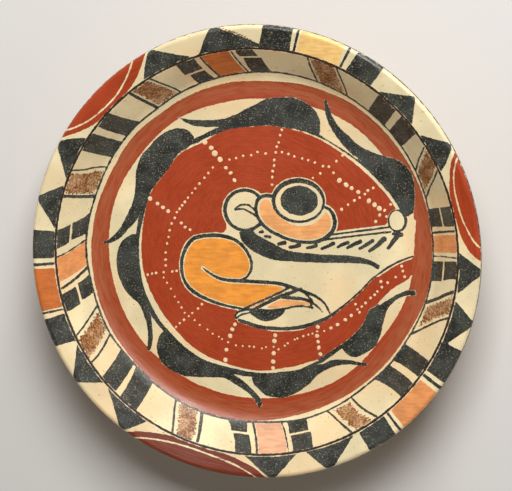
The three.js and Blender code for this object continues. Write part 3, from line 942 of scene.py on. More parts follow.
def round_trip(points):
    """Unit plan directions of points."""
    return points[:, :2] / np.maximum(np.hypot(points[:, 0], points[:, 1]), 1e-9)[:, None]


# Materials


def put(tree, kind, sockets=None, **settings):
    """A new node, its sockets set to values or linked from other nodes' sockets."""
    node = tree.nodes.new(kind)
    for key, value in settings.items():
        setattr(node, key, value)
    for key, value in (sockets or {}).items():
        if isinstance(value, bpy.types.NodeSocket):
            tree.links.new(value, node.inputs[key])
        else:
            node.inputs[key].default_value = value
    return node


def shade(tone, factor):
    """The colour, darker or lighter, with alpha."""
    return (*(min(1.0, c * factor) for c in tone), 1.0)


def solid(code):
    """A colour from six hex digits, with alpha."""
    return (*linear(code), 1.0)


class Recipe:
    """Adds shader nodes to one material in short lines."""

    def __init__(self, name):
        self.material = bpy.data.materials.new(name)
        self.material.use_nodes = True
        self.tree = self.material.node_tree
        self.tree.nodes.clear()
        self.place = self.put("TexCoord").outputs["Object"]

    def put(self, kind, sockets=None, **settings):
        return put(self.tree, "ShaderNode" + kind, sockets, **settings)

    def plus(self, a, b):
        return self.put("Math", {0: a, 1: b}, operation="ADD").outputs[0]

    def minus(self, a, b):
        return self.put("Math", {0: a, 1: b}, operation="SUBTRACT").outputs[0]

    def times(self, a, b):
        return self.put("Math", {0: a, 1: b}, operation="MULTIPLY").outputs[0]

    def stretched(self, factors):
        """The place on the object, scaled along each axis."""
        return self.put("VectorMath", {0: self.place, 1: factors}, operation="MULTIPLY").outputs[0]

    def noise(self, scale, detail=2.0, at=None, roughness=0.5):
        sockets = {"Vector": at or self.place, "Scale": scale, "Detail": detail,
                   "Roughness": roughness}
        return self.put("TexNoise", sockets).outputs["Fac"]

    def rise(self, value, low, high):
        """0 below low, 1 above high, smooth between."""
        sockets = {0: value, 1: low, 2: high}
        return self.put("MapRange", sockets, interpolation_type="SMOOTHSTEP").outputs[0]

    def mix(self, share, a, b):
        return self.put("Mix", {0: share, 6: a, 7: b}, data_type="RGBA").outputs[2]

    def tones(self, value, low, high, tone, dark, light):
        """One colour, from dark to light as the value rises from low to high."""
        return self.mix(self.rise(value, low, high), shade(tone, dark), shade(tone, light))

    def over(self, base, value, low, high, code):
        """The base, and another colour over it where the value is high."""
        return self.mix(self.rise(value, low, high), base, solid(code))

    def sheen(self, value, burnished, dull):
        """A roughness that follows a noise."""
        sockets = {0: value, 1: 0.3, 2: 0.7, 3: burnished, 4: dull}
        return self.put("MapRange", sockets).outputs[0]

    def flat(self):
        return self.stretched((1, 1, 0))

    def radius(self):
        """Distance from the plate's axis, in metres."""
        return self.put("VectorMath", {0: self.flat()}, operation="LENGTH").outputs["Value"]

    def round_plate(self, along, across):
        """A place for patterns that run round the plate: per metre along and across the run."""
        way = self.put("VectorMath", {0: self.flat()}, operation="NORMALIZE").outputs[0]
        turn = self.put("VectorMath", {0: way, 1: (along, along, 0)}, operation="MULTIPLY")
        out = self.put("CombineXYZ", {2: self.times(self.radius(), across)})
        joint = {0: turn.outputs[0], 1: out.outputs[0]}
        return self.put("VectorMath", joint, operation="ADD").outputs[0]

    def finish(self, base, roughness, height, depth, **sockets):
        bump = self.put("Bump", {"Height": height, "Strength": 1.0, "Distance": depth})
        shader = self.put("BsdfPrincipled", {"Base Color": base, "Roughness": roughness,
                                             "Normal": bump.outputs[0], **sockets})
        self.put("OutputMaterial", {"Surface": shader.outputs[0]})
        return self.material


def once(maker):
    """The material that a maker gives, made only the first time it is asked for."""
    name = maker.__name__
    return bpy.data.materials.get(name) or maker(Recipe(name))


# where the red ring starts and ends, in metres from the axis, each edge from faint to full; on the ring
# the red is paled and browned, partly as worn slip and partly as painted sheen where the floor turns up
# into the wall
RING_STARTS = (0.124, 0.137)
RING_ENDS = (0.150, 0.160)


def slip_looks(recipe, tint, clouds, streak, grain):
    """The colour of each slip."""
    looks = {}
    red = recipe.tones(streak, 0.25, 0.75, tint.red, 0.84, 1.14)
    red = recipe.mix(recipe.times(recipe.rise(clouds, 0.4, 0.7), 0.4), red, shade(tint.red, 1.22))
    red = recipe.over(red, recipe.noise(1000, 5, roughness=0.7), 0.58, 0.70, "c2683f")
    radius = recipe.radius()
    on_ring = recipe.minus(recipe.rise(radius, *RING_STARTS), recipe.rise(radius, *RING_ENDS))
    # on the ring the red turns paler and browner along the streaks: partly worn slip, partly painted
    # sheen
    ring_wear_and_sheen = recipe.times(on_ring, recipe.rise(streak, 0.15, 0.75))
    looks["red"] = recipe.mix(ring_wear_and_sheen, red, solid("a85e3c"))
    looks["maroon"] = recipe.tones(streak, 0.25, 0.75, tint.maroon, 0.84, 1.2)

    across = recipe.noise(1.0, 4, recipe.stretched((90, 560, 300)))
    brushed = recipe.plus(recipe.times(across, 0.5), recipe.times(recipe.noise(95, 4), 0.5))
    # the pale yellow-orange and the pinkish orange among these are painted sheen on one block each
    for slip in ("orange", "amber", "sheen_apricot", "peach", "pink", "rust"):
        looks[slip] = recipe.tones(brushed, 0.36, 0.64, getattr(tint, slip), 0.82, 1.12)

    smudge = recipe.rise(recipe.noise(110, 3), 0.38, 0.62)
    hatch = recipe.mix(smudge, solid("d3a67b"), solid("b07b47"))
    scribble = recipe.noise(1.0, 3, recipe.round_plate(85, 1250))
    marks = recipe.times(recipe.rise(scribble, 0.41, 0.56),
                         recipe.plus(recipe.times(smudge, 0.35), 0.65))
    looks["hatch"] = recipe.mix(marks, hatch, shade(tint.hatch, 1))

    black = recipe.tones(recipe.noise(70, 3), 0.35, 0.65, tint.black, 0.5, 1.25)
    flecks = recipe.rise(recipe.noise(780, 4, roughness=0.65), 0.54, 0.65)
    patches = recipe.times(recipe.rise(recipe.noise(130, 3), 0.25, 0.6), flecks)
    looks["black"] = recipe.mix(patches, black, solid("8f866e"))
    looks["edge"] = recipe.mix(recipe.rise(grain, 0.4, 0.6), solid("261c16"),
                               solid("3f2f24"))
    return looks, scribble


def painted_slip(recipe):
    """Burnished slips laid over cream, their hand-drawn edges from the fields on the mesh."""
    tint = colours()
    clouds = recipe.noise(28, 3)
    streak = recipe.noise(1.0, 4, recipe.round_plate(11, 620))
    grain = recipe.noise(1100, 3)
    wander = recipe.times(recipe.minus(recipe.noise(240, 3), 0.5), 1.3)
    ragged = recipe.times(recipe.minus(recipe.noise(1500, 2), 0.5), 0.8)
    uneven = recipe.plus(wander, ragged)
    looks, scribble = slip_looks(recipe, tint, clouds, streak, grain)
    frayed = recipe.times(recipe.minus(scribble, 0.5), 8.0)

    base = recipe.tones(clouds, 0.35, 0.68, tint.cream, 0.86, 1.04)
    stain = recipe.times(recipe.rise(recipe.noise(13, 2), 0.46, 0.66), 0.42)
    base = recipe.mix(stain, base, solid("ecc08a"))
    base = recipe.over(base, recipe.noise(420, 3), 0.63, 0.76, "c79a62")
    height = recipe.times(streak, 0.25)
    for slip, bump in SLIPS.items():
        field = recipe.put("Attribute", attribute_name=slip).outputs["Fac"]
        if slip == "hatch":
            field = recipe.plus(field, frayed)
        shows = recipe.rise(recipe.plus(field, uneven), -0.16, 0.16)
        base = recipe.mix(shows, base, looks[slip])
        height = recipe.plus(height, recipe.times(shows, bump))
    height = recipe.plus(height, recipe.times(grain, 0.18))
    return recipe.finish(base, recipe.sheen(clouds, 0.30, 0.42), height, 0.0005)


def burnished_clay(recipe):
    """The plain outside: buff clay with burnishing strokes, fire clouds and dark grit."""
    strokes = recipe.noise(1.0, 3, recipe.round_plate(7, 420))
    grit = recipe.noise(900, 2)
    base = recipe.tones(strokes, 0.3, 0.7, colours().clay, 0.84, 1.1)
    base = recipe.over(base, recipe.noise(9, 4), 0.56, 0.74, "8a6240")
    base = recipe.over(base, grit, 0.66, 0.72, "5c4330")
    height = recipe.plus(strokes, recipe.times(grit, 0.4))
    return recipe.finish(base, recipe.sheen(strokes, 0.46, 0.62), height, 0.0005)


def wiped_clay(recipe):
    """Feet and collars: clay wiped with wet fingers, soot and wear at the sole."""
    wipes = recipe.noise(1.0, 3, recipe.stretched((320, 320, 60)))
    grit = recipe.noise(1000, 2)
    base = recipe.tones(wipes, 0.3, 0.7, colours().clay, 0.76, 1.04)
    base = recipe.over(base, recipe.noise(40, 3), 0.55, 0.72, "7e573a")
    above_ground = recipe.put("SeparateXYZ", {0: recipe.place}).outputs[2]
    worn = recipe.plus(above_ground, recipe.times(recipe.noise(160, 3), 0.006))
    base = recipe.mix(recipe.rise(worn, 0.0035, 0.007), solid("dcbd92"), base)
    base = recipe.over(base, grit, 0.66, 0.72, "553d2b")
    height = recipe.plus(wipes, recipe.times(grit, 0.5))
    return recipe.finish(base, recipe.sheen(wipes, 0.62, 0.78), height, 0.0006)


def pellet_clay(recipe):
    """Rattle pellets: rolled brown clay, matt and gritty."""
    blotch = recipe.noise(260, 3)
    grit = recipe.noise(1400, 3)
    base = recipe.tones(blotch, 0.35, 0.65, colours().pellet, 0.75, 1.15)
    base = recipe.over(base, grit, 0.64, 0.72, "4a3324")
    return recipe.finish(base, recipe.sheen(blotch, 0.7, 0.85), recipe.plus(blotch, grit), 0.0003)


def dot_slip(recipe):
    """Thick white slip of the dots, patchy, with fine darker specks."""
    patchy = recipe.noise(420, 3)
    base = recipe.tones(patchy, 0.35, 0.7, colours().dots, 0.82, 1.05)
    base = recipe.over(base, recipe.noise(1800, 2), 0.62, 0.74, "c79a6c")
    return recipe.finish(base, recipe.sheen(patchy, 0.48, 0.6), patchy, 0.0002)


# The dish: floor, wall and rim share one section and one painting

# seams, in mm, where the visible pieces meet: radii on the upper side, then on the outside
FLOOR_SEAM = 135.9
RIM_SEAM = 167.9
OUTER_RIM_SEAM = 173.0
SLAB_SEAM = (152.95, 50.0)
HIDDEN_CORNER = [(FLOOR_SEAM, SLAB_SEAM[1])]
BASE_FLAT = 144.0
# painted clay goes round the lip down to this height
PAINT_END = 79.0
# past the lip's widest place the painting goes on as it is this far outside it
LIP_WRAP = 1.2
# the section starts and ends at this radius, under the painted floor
SECTION_END = 110
# half the bake map, less its margin, and the gap in mm between its painted and plain parts
MAP_HALF = 0.49
MAP_GAP = 3
# the floor's map: centre and radius of the painted disc and of the underside, whose edge is
# at UNDER_EDGE mm and its hidden step a little inside that
TOP_MAP = (0.41, 0.40)
UNDER_MAP = (0.82, 0.17)
UNDER_EDGE = 158
HIDDEN_EDGE = 155


def turn_count():
    return 1120


def dish_section():
    """The dish's section in mm, from the floor over the lip and back under the slab."""
    size = sizes()
    floor, under = size.floor_height / MM, size.under_height / MM
    corner, mouth = size.corner_radius / MM, size.mouth_radius / MM
    top, lip, lip_top = size.mouth_height / MM, size.lip_radius / MM, size.lip_height / MM
    steep = (top - floor) / (mouth - corner)
    gentle = (lip_top - top) / (lip - mouth)
    # outer face of the wall and underside of the ledge, each as height = level + slope * radius
    wall_level = floor - steep * corner - size.wall_thickness / MM * math.hypot(1, steep)
    ledge_level = top - gentle * mouth - size.rim_thickness / MM * math.hypot(1, gentle)
    arm = (ledge_level - wall_level) / (steep - gentle)
    base = (under - wall_level) / steep
    rounding = size.lip_rounding / MM
    # each corner is its radius, its height and how far it is rounded
    return rounded([
        (SECTION_END, floor, 0), (corner, floor, size.corner_rounding / MM), (mouth, top, 1.4),
        (lip, lip_top, rounding), (lip, ledge_level + gentle * lip, rounding),
        (arm, wall_level + steep * arm, 5), (base, under, 2.5), (SECTION_END, under, 0)],
        0.93)


def dish_runs():
    """The section cut at the seams: wall, rim, outside of the wall, edge of the slab."""
    _, rest = cut(dish_section(), FLOOR_SEAM, True)
    wall, rest = cut(rest, RIM_SEAM, True)
    rim, rest = cut(rest, OUTER_RIM_SEAM, False)
    outside, rest = cut(rest, SLAB_SEAM[0], False)
    base, _ = cut(rest, BASE_FLAT, False)
    return wall, rim, outside, base


def every_other(points):
    """The points thinned for the plain side, its two ends kept."""
    return np.vstack([points[:-1:2], points[-1:]])


def dress(thing, slot, *nodes):
    """Ties a finished piece of the vessel to its body and hides the nodes that it replaces; slot is not
    used.
    """
    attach(thing, VESSEL)
    if nodes:
        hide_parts(*nodes)


def build_band(name, upper, rest, node):
    """A ring of the dish: the painted run, then the plain run that closes it."""
    turn = turn_count()
    section = np.vstack([upper, rest])
    rows, shown = len(section), len(upper)
    points = spin(section, turn)
    faces = ring_faces(rows, turn, closed=True)
    is_painted = np.repeat(np.arange(rows) < shown - 1, turn)

    widest = int(np.argmax(upper[:, 0]))
    radii = upper[:, 0].copy()
    if widest < shown - 1:
        radii[widest + 1:] = radii[widest] + LIP_WRAP
    spots = spin(np.column_stack([radii, upper[:, 1]]), turn)[:, :2]
    thing = make_dish_piece(name, points, faces, is_painted, spots)

    steps = np.hypot(*np.diff(section, axis=0, append=section[:1]).T)
    length = np.concatenate([[0], np.cumsum(steps)])
    inner = section[0, 0]
    scale = MAP_HALF / (inner + length[shown - 1])
    high = (inner + length[:rows]) * scale
    low = (inner - MAP_GAP - (length - length[shown - 1])) * scale
    low[0] = low[rows]
    low = low[:rows]
    way = round_trip(points)
    write_map(thing.data, 0.5 + way * np.repeat(high, turn)[:, None],
              0.5 + way * np.repeat(low, turn)[:, None], is_painted)
    dress(thing, "painted_wall", node)


def build_floor():
    turn = turn_count()
    size = sizes()
    floor = size.floor_height / MM
    _, _, _, base = dish_runs()
    top, top_faces, edge = disc_grid(FLOOR_SEAM, floor, turn // 4)
    section = np.vstack([HIDDEN_CORNER, every_other(base)])
    sides = spin(section, turn)
    start = len(top)
    rings = [edge] + [start + row * turn + np.arange(turn) for row in range(len(section))]
    faces = list(top_faces)
    for a, b in zip(rings, rings[1:]):
        faces.extend(np.column_stack([a, b, np.roll(b, -1), np.roll(a, -1)]).tolist())
    # the underside is a coarser disc, joined to the fine ring by fans
    bottom, bottom_faces, rim = disc_grid(BASE_FLAT - 3, size.under_height / MM, turn // 16)
    offset = start + len(sides)
    rim = rim + offset
    last = rings[-1]
    for k in range(turn // 4):
        here, after = rim[k], rim[(k + 1) % len(rim)]
        f = [last[(4 * k + step) % turn] for step in range(5)]
        faces += [(here, f[1], f[0]), (here, f[2], f[1]), (here, after, f[2]),
                  (after, f[3], f[2]), (after, f[4], f[3])]
    faces += [tuple(offset + i for i in face[::-1]) for face in bottom_faces]
    faces = [tuple(int(i) for i in face) for face in faces]
    points = np.vstack([top, sides, bottom])
    is_painted = np.arange(len(faces)) < len(top_faces)
    thing = make_dish_piece("painted_floor", points, faces, is_painted, top[:, :2])
    centre, reach = TOP_MAP
    upper = centre + top[:, :2] / FLOOR_SEAM * reach
    upper = np.vstack([upper, np.zeros((len(sides) + len(bottom), 2))])
    # the underside takes the free corner of the map; its hidden step is drawn past its edge
    radius = np.hypot(points[:, 0], points[:, 1])
    radius[:start] = UNDER_EDGE
    radius[start:start + turn] = HIDDEN_EDGE
    centre, reach = UNDER_MAP
    under = centre + round_trip(points) * (radius * reach / UNDER_EDGE)[:, None]
    write_map(thing.data, upper, under, is_painted)
    dress(thing, "painted_floor", "floor_slab")


def build_wall():
    wall, _, outside, _ = dish_runs()
    build_band("painted_wall", wall, np.vstack([every_other(outside), HIDDEN_CORNER]), "wall_ring")


def build_rim():
    _, rim, _, _ = dish_runs()
    lip = int(np.argmax(rim[:, 0]))
    end = lip + int(np.argmax(rim[lip:, 1] < PAINT_END))
    build_band("painted_rim", rim[:end + 1], every_other(rim[end + 1:]), "rim_ledge")


# White slip dots: rows across the body and one long row along it

# radius in mm, then the dots' places
DOT_ROWS = (
    (2.3, [(-46.6, 89.9), (-41.2, 85.3), (-38.2, 80.7), (-33.7, 75.7)]),
    (1.7, [(-28.7, 68.8), (-24.7, 64.5), (-21.4, 58.4)]),
    (1.2, [(18.7, 101.3), (17.3, 96.8), (16, 90.7), (14.4, 87.2), (12.3, 76), (12.2, 71.3),
        (11, 66.6), (10.7, 61.6), (10.5, 55.3)]),
    (1.8, [(-93.8, 41.6), (-87.4, 37.4), (-82.8, 34.3), (-78.3, 31.2)]),
    (1.35, [(-67, 21.4), (-63.7, 18), (-59.5, 15.9)]),
    (1.15, [(-96.2, -23.2), (-92.4, -22.2), (-88.9, -21.6), (-74.9, -20), (-71.2, -19.3)]),
    (1.15, [(-49.5, -47.2), (-52.8, -51), (-57.8, -55), (-65, -61), (-68.7, -64), (-71.8, -67.3)]),
    (1.9, [(-21.2, -63.7), (-23.4, -68), (-25.3, -73.6), (-28.5, -85.5), (-29.3, -94.3)]),
    (1.9, [(13.3, -72), (12.6, -76.8), (12, -87.3), (11.6, -94.5), (11.5, -100)]),
    (1.7, [(49.5, -63.8), (48.9, -71.4), (49.8, -76.3), (50.4, -81.3), (51.8, -86.8)]),
    (1.2, [(81.3, -43.6), (84.7, -50.5), (102.6, -24), (120, -10.7), (121, -14.7)]),
    (1.15, [(69.8, 80.8), (64.7, 76), (58.4, 71.3), (51.2, 65.5), (45, 61.6)]),
    (1.25, [(95.8, 54.3), (91.3, 52), (88.8, 49), (84.4, 46), (80, 43.5), (74.7, 39.8),
        (69.3, 35.8)]),
    (1.35, [(110.5, 40.8), (105.5, 35.8), (101.3, 31.8), (98, 26.2), (107, 30.6)]),
    (1.15, [(46.6, 74.5), (41, 76.3), (36, 77.7), (29.3, 79.3), (24.3, 81.2), (18.8, 82.7),
        (13.6, 82.4), (5, 81.3), (-1.8, 82.4), (-7.2, 79.7), (-14, 79), (-20, 77), (-25.7, 75.7),
        (-39.9, 68.8), (-43.7, 64), (-47, 60), (-51.3, 55), (-54.9, 50.8), (-57.7, 47), (-61.2, 43),
        (-63.9, 39.3), (-66.2, 36.4), (-68.4, 33.4), (-70.8, 30.5), (-72.6, 25.6), (-75.3, 20.8),
        (-77, 15), (-78, 9.3), (-79.3, 3.7), (-80.6, -4), (-80.6, -10), (-80.6, -15),
        (-82.3, -20.8)]),
    (0.9, [(-82.4, -25.3), (-79.5, -29.7), (-76.2, -34.7), (-72.8, -41.3), (-69.7, -46),
        (-67, -50.5), (-64.3, -55), (-60.8, -57.8), (-55.8, -61), (-51.4, -65), (-44.7, -68.7),
        (-40.2, -72.2), (-34.9, -74.5), (-32.2, -76.5), (-27, -79), (-20.3, -81.5), (-14.5, -82),
        (-8.7, -82), (-4.8, -82.4), (2, -83.4), (5.5, -82.2), (12, -81.8), (16.2, -83.8),
        (21.5, -80.5), (24, -78.4), (30, -75), (32.2, -74), (37.3, -72), (41.5, -70.5), (45, -69.5),
        (49, -67.5), (55, -67)]),
    (1.5, [(60.7, -64.3), (66.2, -61.3), (72.8, -57), (77.8, -53.3)]),
    (1.15, [(83, -48), (86.6, -45.5), (89.7, -42.4), (94, -38), (97.4, -35.3), (99.7, -32.4),
        (103.4, -28.7), (108.3, -24.8), (115, -20), (122.6, -19.5)]),
    (1.25, [(53.4, 71.6), (62.3, 66.2)]),
    (2.1, [(67.3, 60), (73, 56.4), (77.6, 53.7), (83.2, 50.6), (92.2, 43.4), (97, 40.2),
        (101, 37.2)]))


def dots_tree(material):
    """Geometry nodes that set a flattened bead on each point, scaled by its own size."""
    tree = bpy.data.node_groups.new("slip_dots", "GeometryNodeTree")
    ports = tree.interface
    ports.new_socket("Geometry", in_out="INPUT", socket_type="NodeSocketGeometry")
    named = {}
    for label, kind, value in (("Height", "Float", 0.35), ("Unevenness", "Float", 0.2),
                               ("Seed", "Int", 0)):
        socket = ports.new_socket(label, in_out="INPUT", socket_type="NodeSocket" + kind)
        socket.default_value = value
        named[label] = socket.identifier
    ports.new_socket("Geometry", in_out="OUTPUT", socket_type="NodeSocketGeometry")
    given = tree.nodes.new("NodeGroupInput").outputs

    def combine(operation, a, b):
        return put(tree, "ShaderNodeMath", {0: a, 1: b}, operation=operation).outputs[0]

    def draw(seed, low, high):
        """A random number for each dot."""
        return put(tree, "FunctionNodeRandomValue", {2: low, 3: high, "Seed": seed}).outputs[1]

    def step(kind, geometry, sockets=None):
        return put(tree, "GeometryNode" + kind, {0: geometry, **(sockets or {})}).outputs[0]

    size = put(tree, "GeometryNodeInputNamedAttribute", {"Name": "dot_size"}).outputs[0]
    low = combine("SUBTRACT", 1.0, given["Unevenness"])
    high = combine("ADD", 1.0, given["Unevenness"])
    seeds = [combine("ADD", given["Seed"], extra) for extra in (1.0, 2.0)]
    across, along = (combine("MULTIPLY", size, draw(seed, low, high)) for seed in seeds)
    scale = put(tree, "ShaderNodeCombineXYZ",
                {0: across, 1: along, 2: combine("MULTIPLY", size, given["Height"])})
    turn = put(tree, "ShaderNodeCombineXYZ", {2: draw(given["Seed"], 0.0, math.tau)})
    turned = put(tree, "FunctionNodeEulerToRotation", {0: turn.outputs[0]})
    bead = put(tree, "GeometryNodeMeshUVSphere", {"Segments": 10, "Rings": 6, "Radius": 1.0})
    dots = step("InstanceOnPoints", step("MeshToPoints", given["Geometry"]), {
        "Instance": bead.outputs[0], "Rotation": turned.outputs[0], "Scale": scale.outputs[0]})
    dots = step("SetShadeSmooth", step("RealizeInstances", dots))
    dots = step("SetMaterial", dots, {"Material": material})
    put(tree, "NodeGroupOutput", {0: dots})
    return tree, named


def plain_copy(thing, name):
    """The evaluated object as a plain mesh at the origin; the object that made it goes."""
    bpy.context.view_layer.update()
    graph = bpy.context.evaluated_depsgraph_get()
    mesh = bpy.data.meshes.new_from_object(thing.evaluated_get(graph), depsgraph=graph)
    mesh.name = name
    bpy.data.objects.remove(thing)
    return add_object(name, mesh)


# share by which a dot's width and length may stray
DOT_UNEVENNESS = 0.16


def build_dots():
    size = sizes()
    spots = [(x, y, size.floor_height / MM) for _, row in DOT_ROWS for x, y in row]
    radii = [radius * MM for radius, row in DOT_ROWS for _ in row]
    mesh = new_mesh("dot_places", hand_made(np.array(spots)), [])
    mesh.attributes.new("dot_size", "FLOAT", "POINT").data.foreach_set("value", radii)
    places = add_object("dot_places", mesh)
    modifier = places.modifiers.new("dots", "NODES")
    modifier.node_group, named = dots_tree(once(dot_slip))
    modifier[named["Height"]] = size.dot_height
    modifier[named["Unevenness"]] = DOT_UNEVENNESS
    modifier[named["Seed"]] = bpy.context.scene.plate_stage.seed
    dress(plain_copy(places, "slip_dots"), "painted_floor")


# Feet, collars and pellets


def foot_place(number):
    """Centre and outward angle of a foot; the first is at the top of the picture."""
    angle = math.radians(90 + 120 * (number - 1))
    reach = sizes().foot_circle
    return Vector((reach * math.cos(angle), reach * math.sin(angle), 0)), angle


def lathe(section, count):
    """A solid of revolution whose section, in mm, starts and ends on the axis."""
    inner = section[1:-1]
    points = np.vstack([spin(inner, count), [(0, 0, section[0][1]), (0, 0, section[-1][1])]])
    faces = ring_faces(len(inner), count, closed=False)
    low, high = len(points) - 2, len(points) - 1
    last = (len(inner) - 1) * count
    for k in range(count):
        after = (k + 1) % count
        faces.append((low, after, k))
        faces.append((high, last + k, last + after))
    return points, [tuple(int(i) for i in face) for face in faces]


def slot_cutter(width, low, high, reach):
    """An upright bar with round ends, in mm, that cuts a vent right through a foot."""
    half = width / 2
    turn = np.linspace(0, math.pi, 13)
    top = np.column_stack([half * np.cos(turn), high - half + half * np.sin(turn)])
    foot = np.column_stack([-half * np.cos(turn), low + half - half * np.sin(turn)])
    outline = np.vstack([top, foot])
    count = len(outline)
    points = np.vstack([np.column_stack([np.full(count, x), outline]) for x in (-reach, reach)])
    faces = [tuple(range(count))[::-1], tuple(range(count, 2 * count))]
    faces += [(k, (k + 1) % count, count + (k + 1) % count, count + k) for k in range(count)]
    return points, faces


def lumpy(points, amount, width, seed):
    """Moves points, in metres, by smooth noise: hand-worked clay is never quite true."""
    noise.seed_set(seed)
    offset = Vector((seed * 3.1, seed * 1.7, seed * 0.9))
    moved = []
    for point in points:
        shift = noise.noise_vector(Vector(point) / width + offset)
        moved.append(Vector(point) + shift * amount)
    return moved


# in mm: top of the foot in its socket, clay of its wall and of its sole, then the vents'
# width, lower and upper end and the reach of the bar that cuts them
FOOT_TOP = 47.2
FOOT_WALL = 5.0
SOLE = 6.5
VENT = (4.5, 14.5, 33.7, 30.0)
FOOT_TURN = 96
# lumps in the clay, in metres: how far they stray and how wide they are
FOOT_LUMPS = (0.00035, 0.014)
PELLET_LUMPS = (0.00022, 0.0035)
# height, in metres, over which the lumps grow from the flat sole
SOLE_FLAT = 0.004
# the collar's hollow cheek: mm outward from its inner face, and up from the slab's underside
CHEEK = [(-0.2, -8.3), (0.9, -8.5), (1.7, -7.2), (2.5, -5.2), (3.9, -3.2), (5.7, -1.8),
         (7.4, -1.1), (7.7, -0.3), (7.2, 0.3)]
COLLAR_TURN = 160
# a pellet's share of its node's radius, and by how much it is out of round
PELLET_SHARE = 0.955
PELLET_OVAL = 0.012


def foot_section():
    """Outside of the foot up to its top in the slab's socket, then down the chamber."""
    size = sizes()
    sole, top = size.foot_sole_radius / MM, size.foot_top_radius / MM
    under = size.under_height / MM
    return rounded([
        (0, 0, 0), (sole, 0, 9), (top, under, 0.4), (top, FOOT_TOP, 0.4),
        (top - FOOT_WALL, FOOT_TOP, 0.4), (top - FOOT_WALL, under, 1),
        (sole - FOOT_WALL + 0.5, SOLE, 6), (0, SOLE, 0)], 1.2)


def build_foot(number):
    place, angle = foot_place(number)
    shell = add_object("foot_shape", new_mesh("foot_shape", *lathe(foot_section(), FOOT_TURN)))
    if volume(np.array([v.co[:] for v in shell.data.vertices]),
              [tuple(p.vertices) for p in shell.data.polygons]) < 0:
        shell.data.flip_normals()
    cutter = add_object("vent_shape", new_mesh("vent_shape", *slot_cutter(*VENT)))
    vent = shell.modifiers.new("vents", "BOOLEAN")
    vent.object = cutter
    vent.operation = "DIFFERENCE"
    vent.solver = "EXACT"
    even = shell.modifiers.new("even", "REMESH")
    even.mode = "VOXEL"
    even.voxel_size = 0.75 * MM
    soft = shell.modifiers.new("soft", "SMOOTH")
    soft.factor = 0.5
    soft.iterations = 4
    thing = plain_copy(shell, f"clay_foot_{number}")
    bpy.data.objects.remove(cutter)
    turn = Matrix.Rotation(angle, 3, "Z")
    mesh = thing.data
    moved = lumpy([turn @ v.co for v in mesh.vertices], *FOOT_LUMPS, number)
    # the sole stays flat on the ground
    for vertex, point in zip(mesh.vertices, moved):
        rest = (turn @ vertex.co).z
        point.z = max(0.0, rest + (point.z - rest) * min(1.0, rest / SOLE_FLAT))
        vertex.co = point + place
    mesh.materials.clear()
    mesh.materials.append(once(wiped_clay))
    mesh.shade_smooth()
    dress(thing, "foot_clay", f"foot_{number}_shell")


def build_collar(number):
    """The coil luted round the foot's top: a hollow cheek with finger marks."""
    place, angle = foot_place(number)
    under = sizes().under_height / MM
    inner = sizes().foot_top_radius / MM - 0.5
    cheek = smooth(np.array(CHEEK) + (inner, under), steps=3)
    section = np.vstack([cheek, [(cheek[0, 0], cheek[-1, 1])]])
    points = spin(section, COLLAR_TURN)
    way = np.arctan2(points[:, 1], points[:, 0])
    radius = np.hypot(points[:, 0], points[:, 1])
    outer = np.clip((radius - inner) / 4, 0, 1) * np.clip((under + 0.2 - points[:, 2]) / 2, 0, 1)
    presses = np.abs(np.sin(way * 6.5 + number + 0.4 * np.sin(3 * way)))
    radius = radius - outer * 0.7 * presses
    points = np.column_stack([radius * np.cos(way), radius * np.sin(way), points[:, 2]])
    points += np.array(place) / MM
    faces = ring_faces(len(section), COLLAR_TURN, closed=True)
    thing = make_object(f"clay_collar_{number}", points, faces, [once(wiped_clay)], sharp=60)
    dress(thing, "foot_clay", f"foot_{number}_collar")


def build_pellet(number, side):
    """A rolled clay pellet, round only to the eye, inside its node's sphere."""
    node = f"foot_{number}_pellet_{side}"
    low, high = (Vector(corner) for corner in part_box(node))
    radius = sizes().pellet_radius * PELLET_SHARE
    seed = 2 * number + PELLETS.index(side)
    name = f"clay_pellet_{number}{side}"
    shape = bmesh.new()
    bmesh.ops.create_icosphere(shape, subdivisions=4, radius=radius)
    for vertex in shape.verts:
        vertex.co.x *= 1 + PELLET_OVAL * math.sin(seed)
        vertex.co.y *= 1 + PELLET_OVAL * math.cos(2 * seed)
    moved = lumpy([v.co for v in shape.verts], *PELLET_LUMPS, seed)
    for vertex, point in zip(shape.verts, moved):
        vertex.co = point
    drop = min(vertex.co.z for vertex in shape.verts)
    middle = (low + high) / 2
    for vertex in shape.verts:
        vertex.co += Vector((middle.x, middle.y, low.z - drop))
    mesh = bpy.data.meshes.new(name)
    shape.to_mesh(mesh)
    shape.free()
    mesh.shade_smooth()
    mesh.materials.append(once(pellet_clay))
    thing = add_object(name, mesh)
    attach(thing, node)
    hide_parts(node)


# Stage: ground, lamps, world and camera


def ground_paper(recipe):
    """Plain pale studio ground."""
    tint = bpy.context.scene.plate_stage.ground
    base = recipe.mix(recipe.noise(2, 2), shade(tint, 0.98), shade(tint, 1.01))
    return recipe.finish(base, 0.95, recipe.noise(300, 2), 0.00005,
                         **{"Specular IOR Level": 0.2})


# in metres: half the ground's side, how far the key lamp is and its side, then the fill lamp's
# place and side
GROUND_HALF = 4.0
KEY_REACH = 1.7
KEY_HEADING = math.radians(74)
KEY_SIDE = 0.22
FILL_PLACE = (0.4, 1.25, 1.9)
FILL_SIDE = 1.1


def build_ground():
    half = GROUND_HALF
    mesh = bpy.data.meshes.new("ground")
    corners = [(-half, -half, 0), (half, -half, 0), (half, half, 0), (-half, half, 0)]
    mesh.from_pydata(corners, [], [(0, 1, 2, 3)])
    mesh.materials.append(once(ground_paper))
    add_object("ground", mesh)


def soft_lamp(name, place, aim, side, power):
    lamp = bpy.data.lights.new(name, "AREA")
    lamp.shape = "SQUARE"
    lamp.size = side
    lamp.energy = power
    thing = add_object(name, lamp)
    thing.location = place
    thing.rotation_euler = (Vector(aim) - Vector(place)).to_track_quat("-Z", "Y").to_euler()


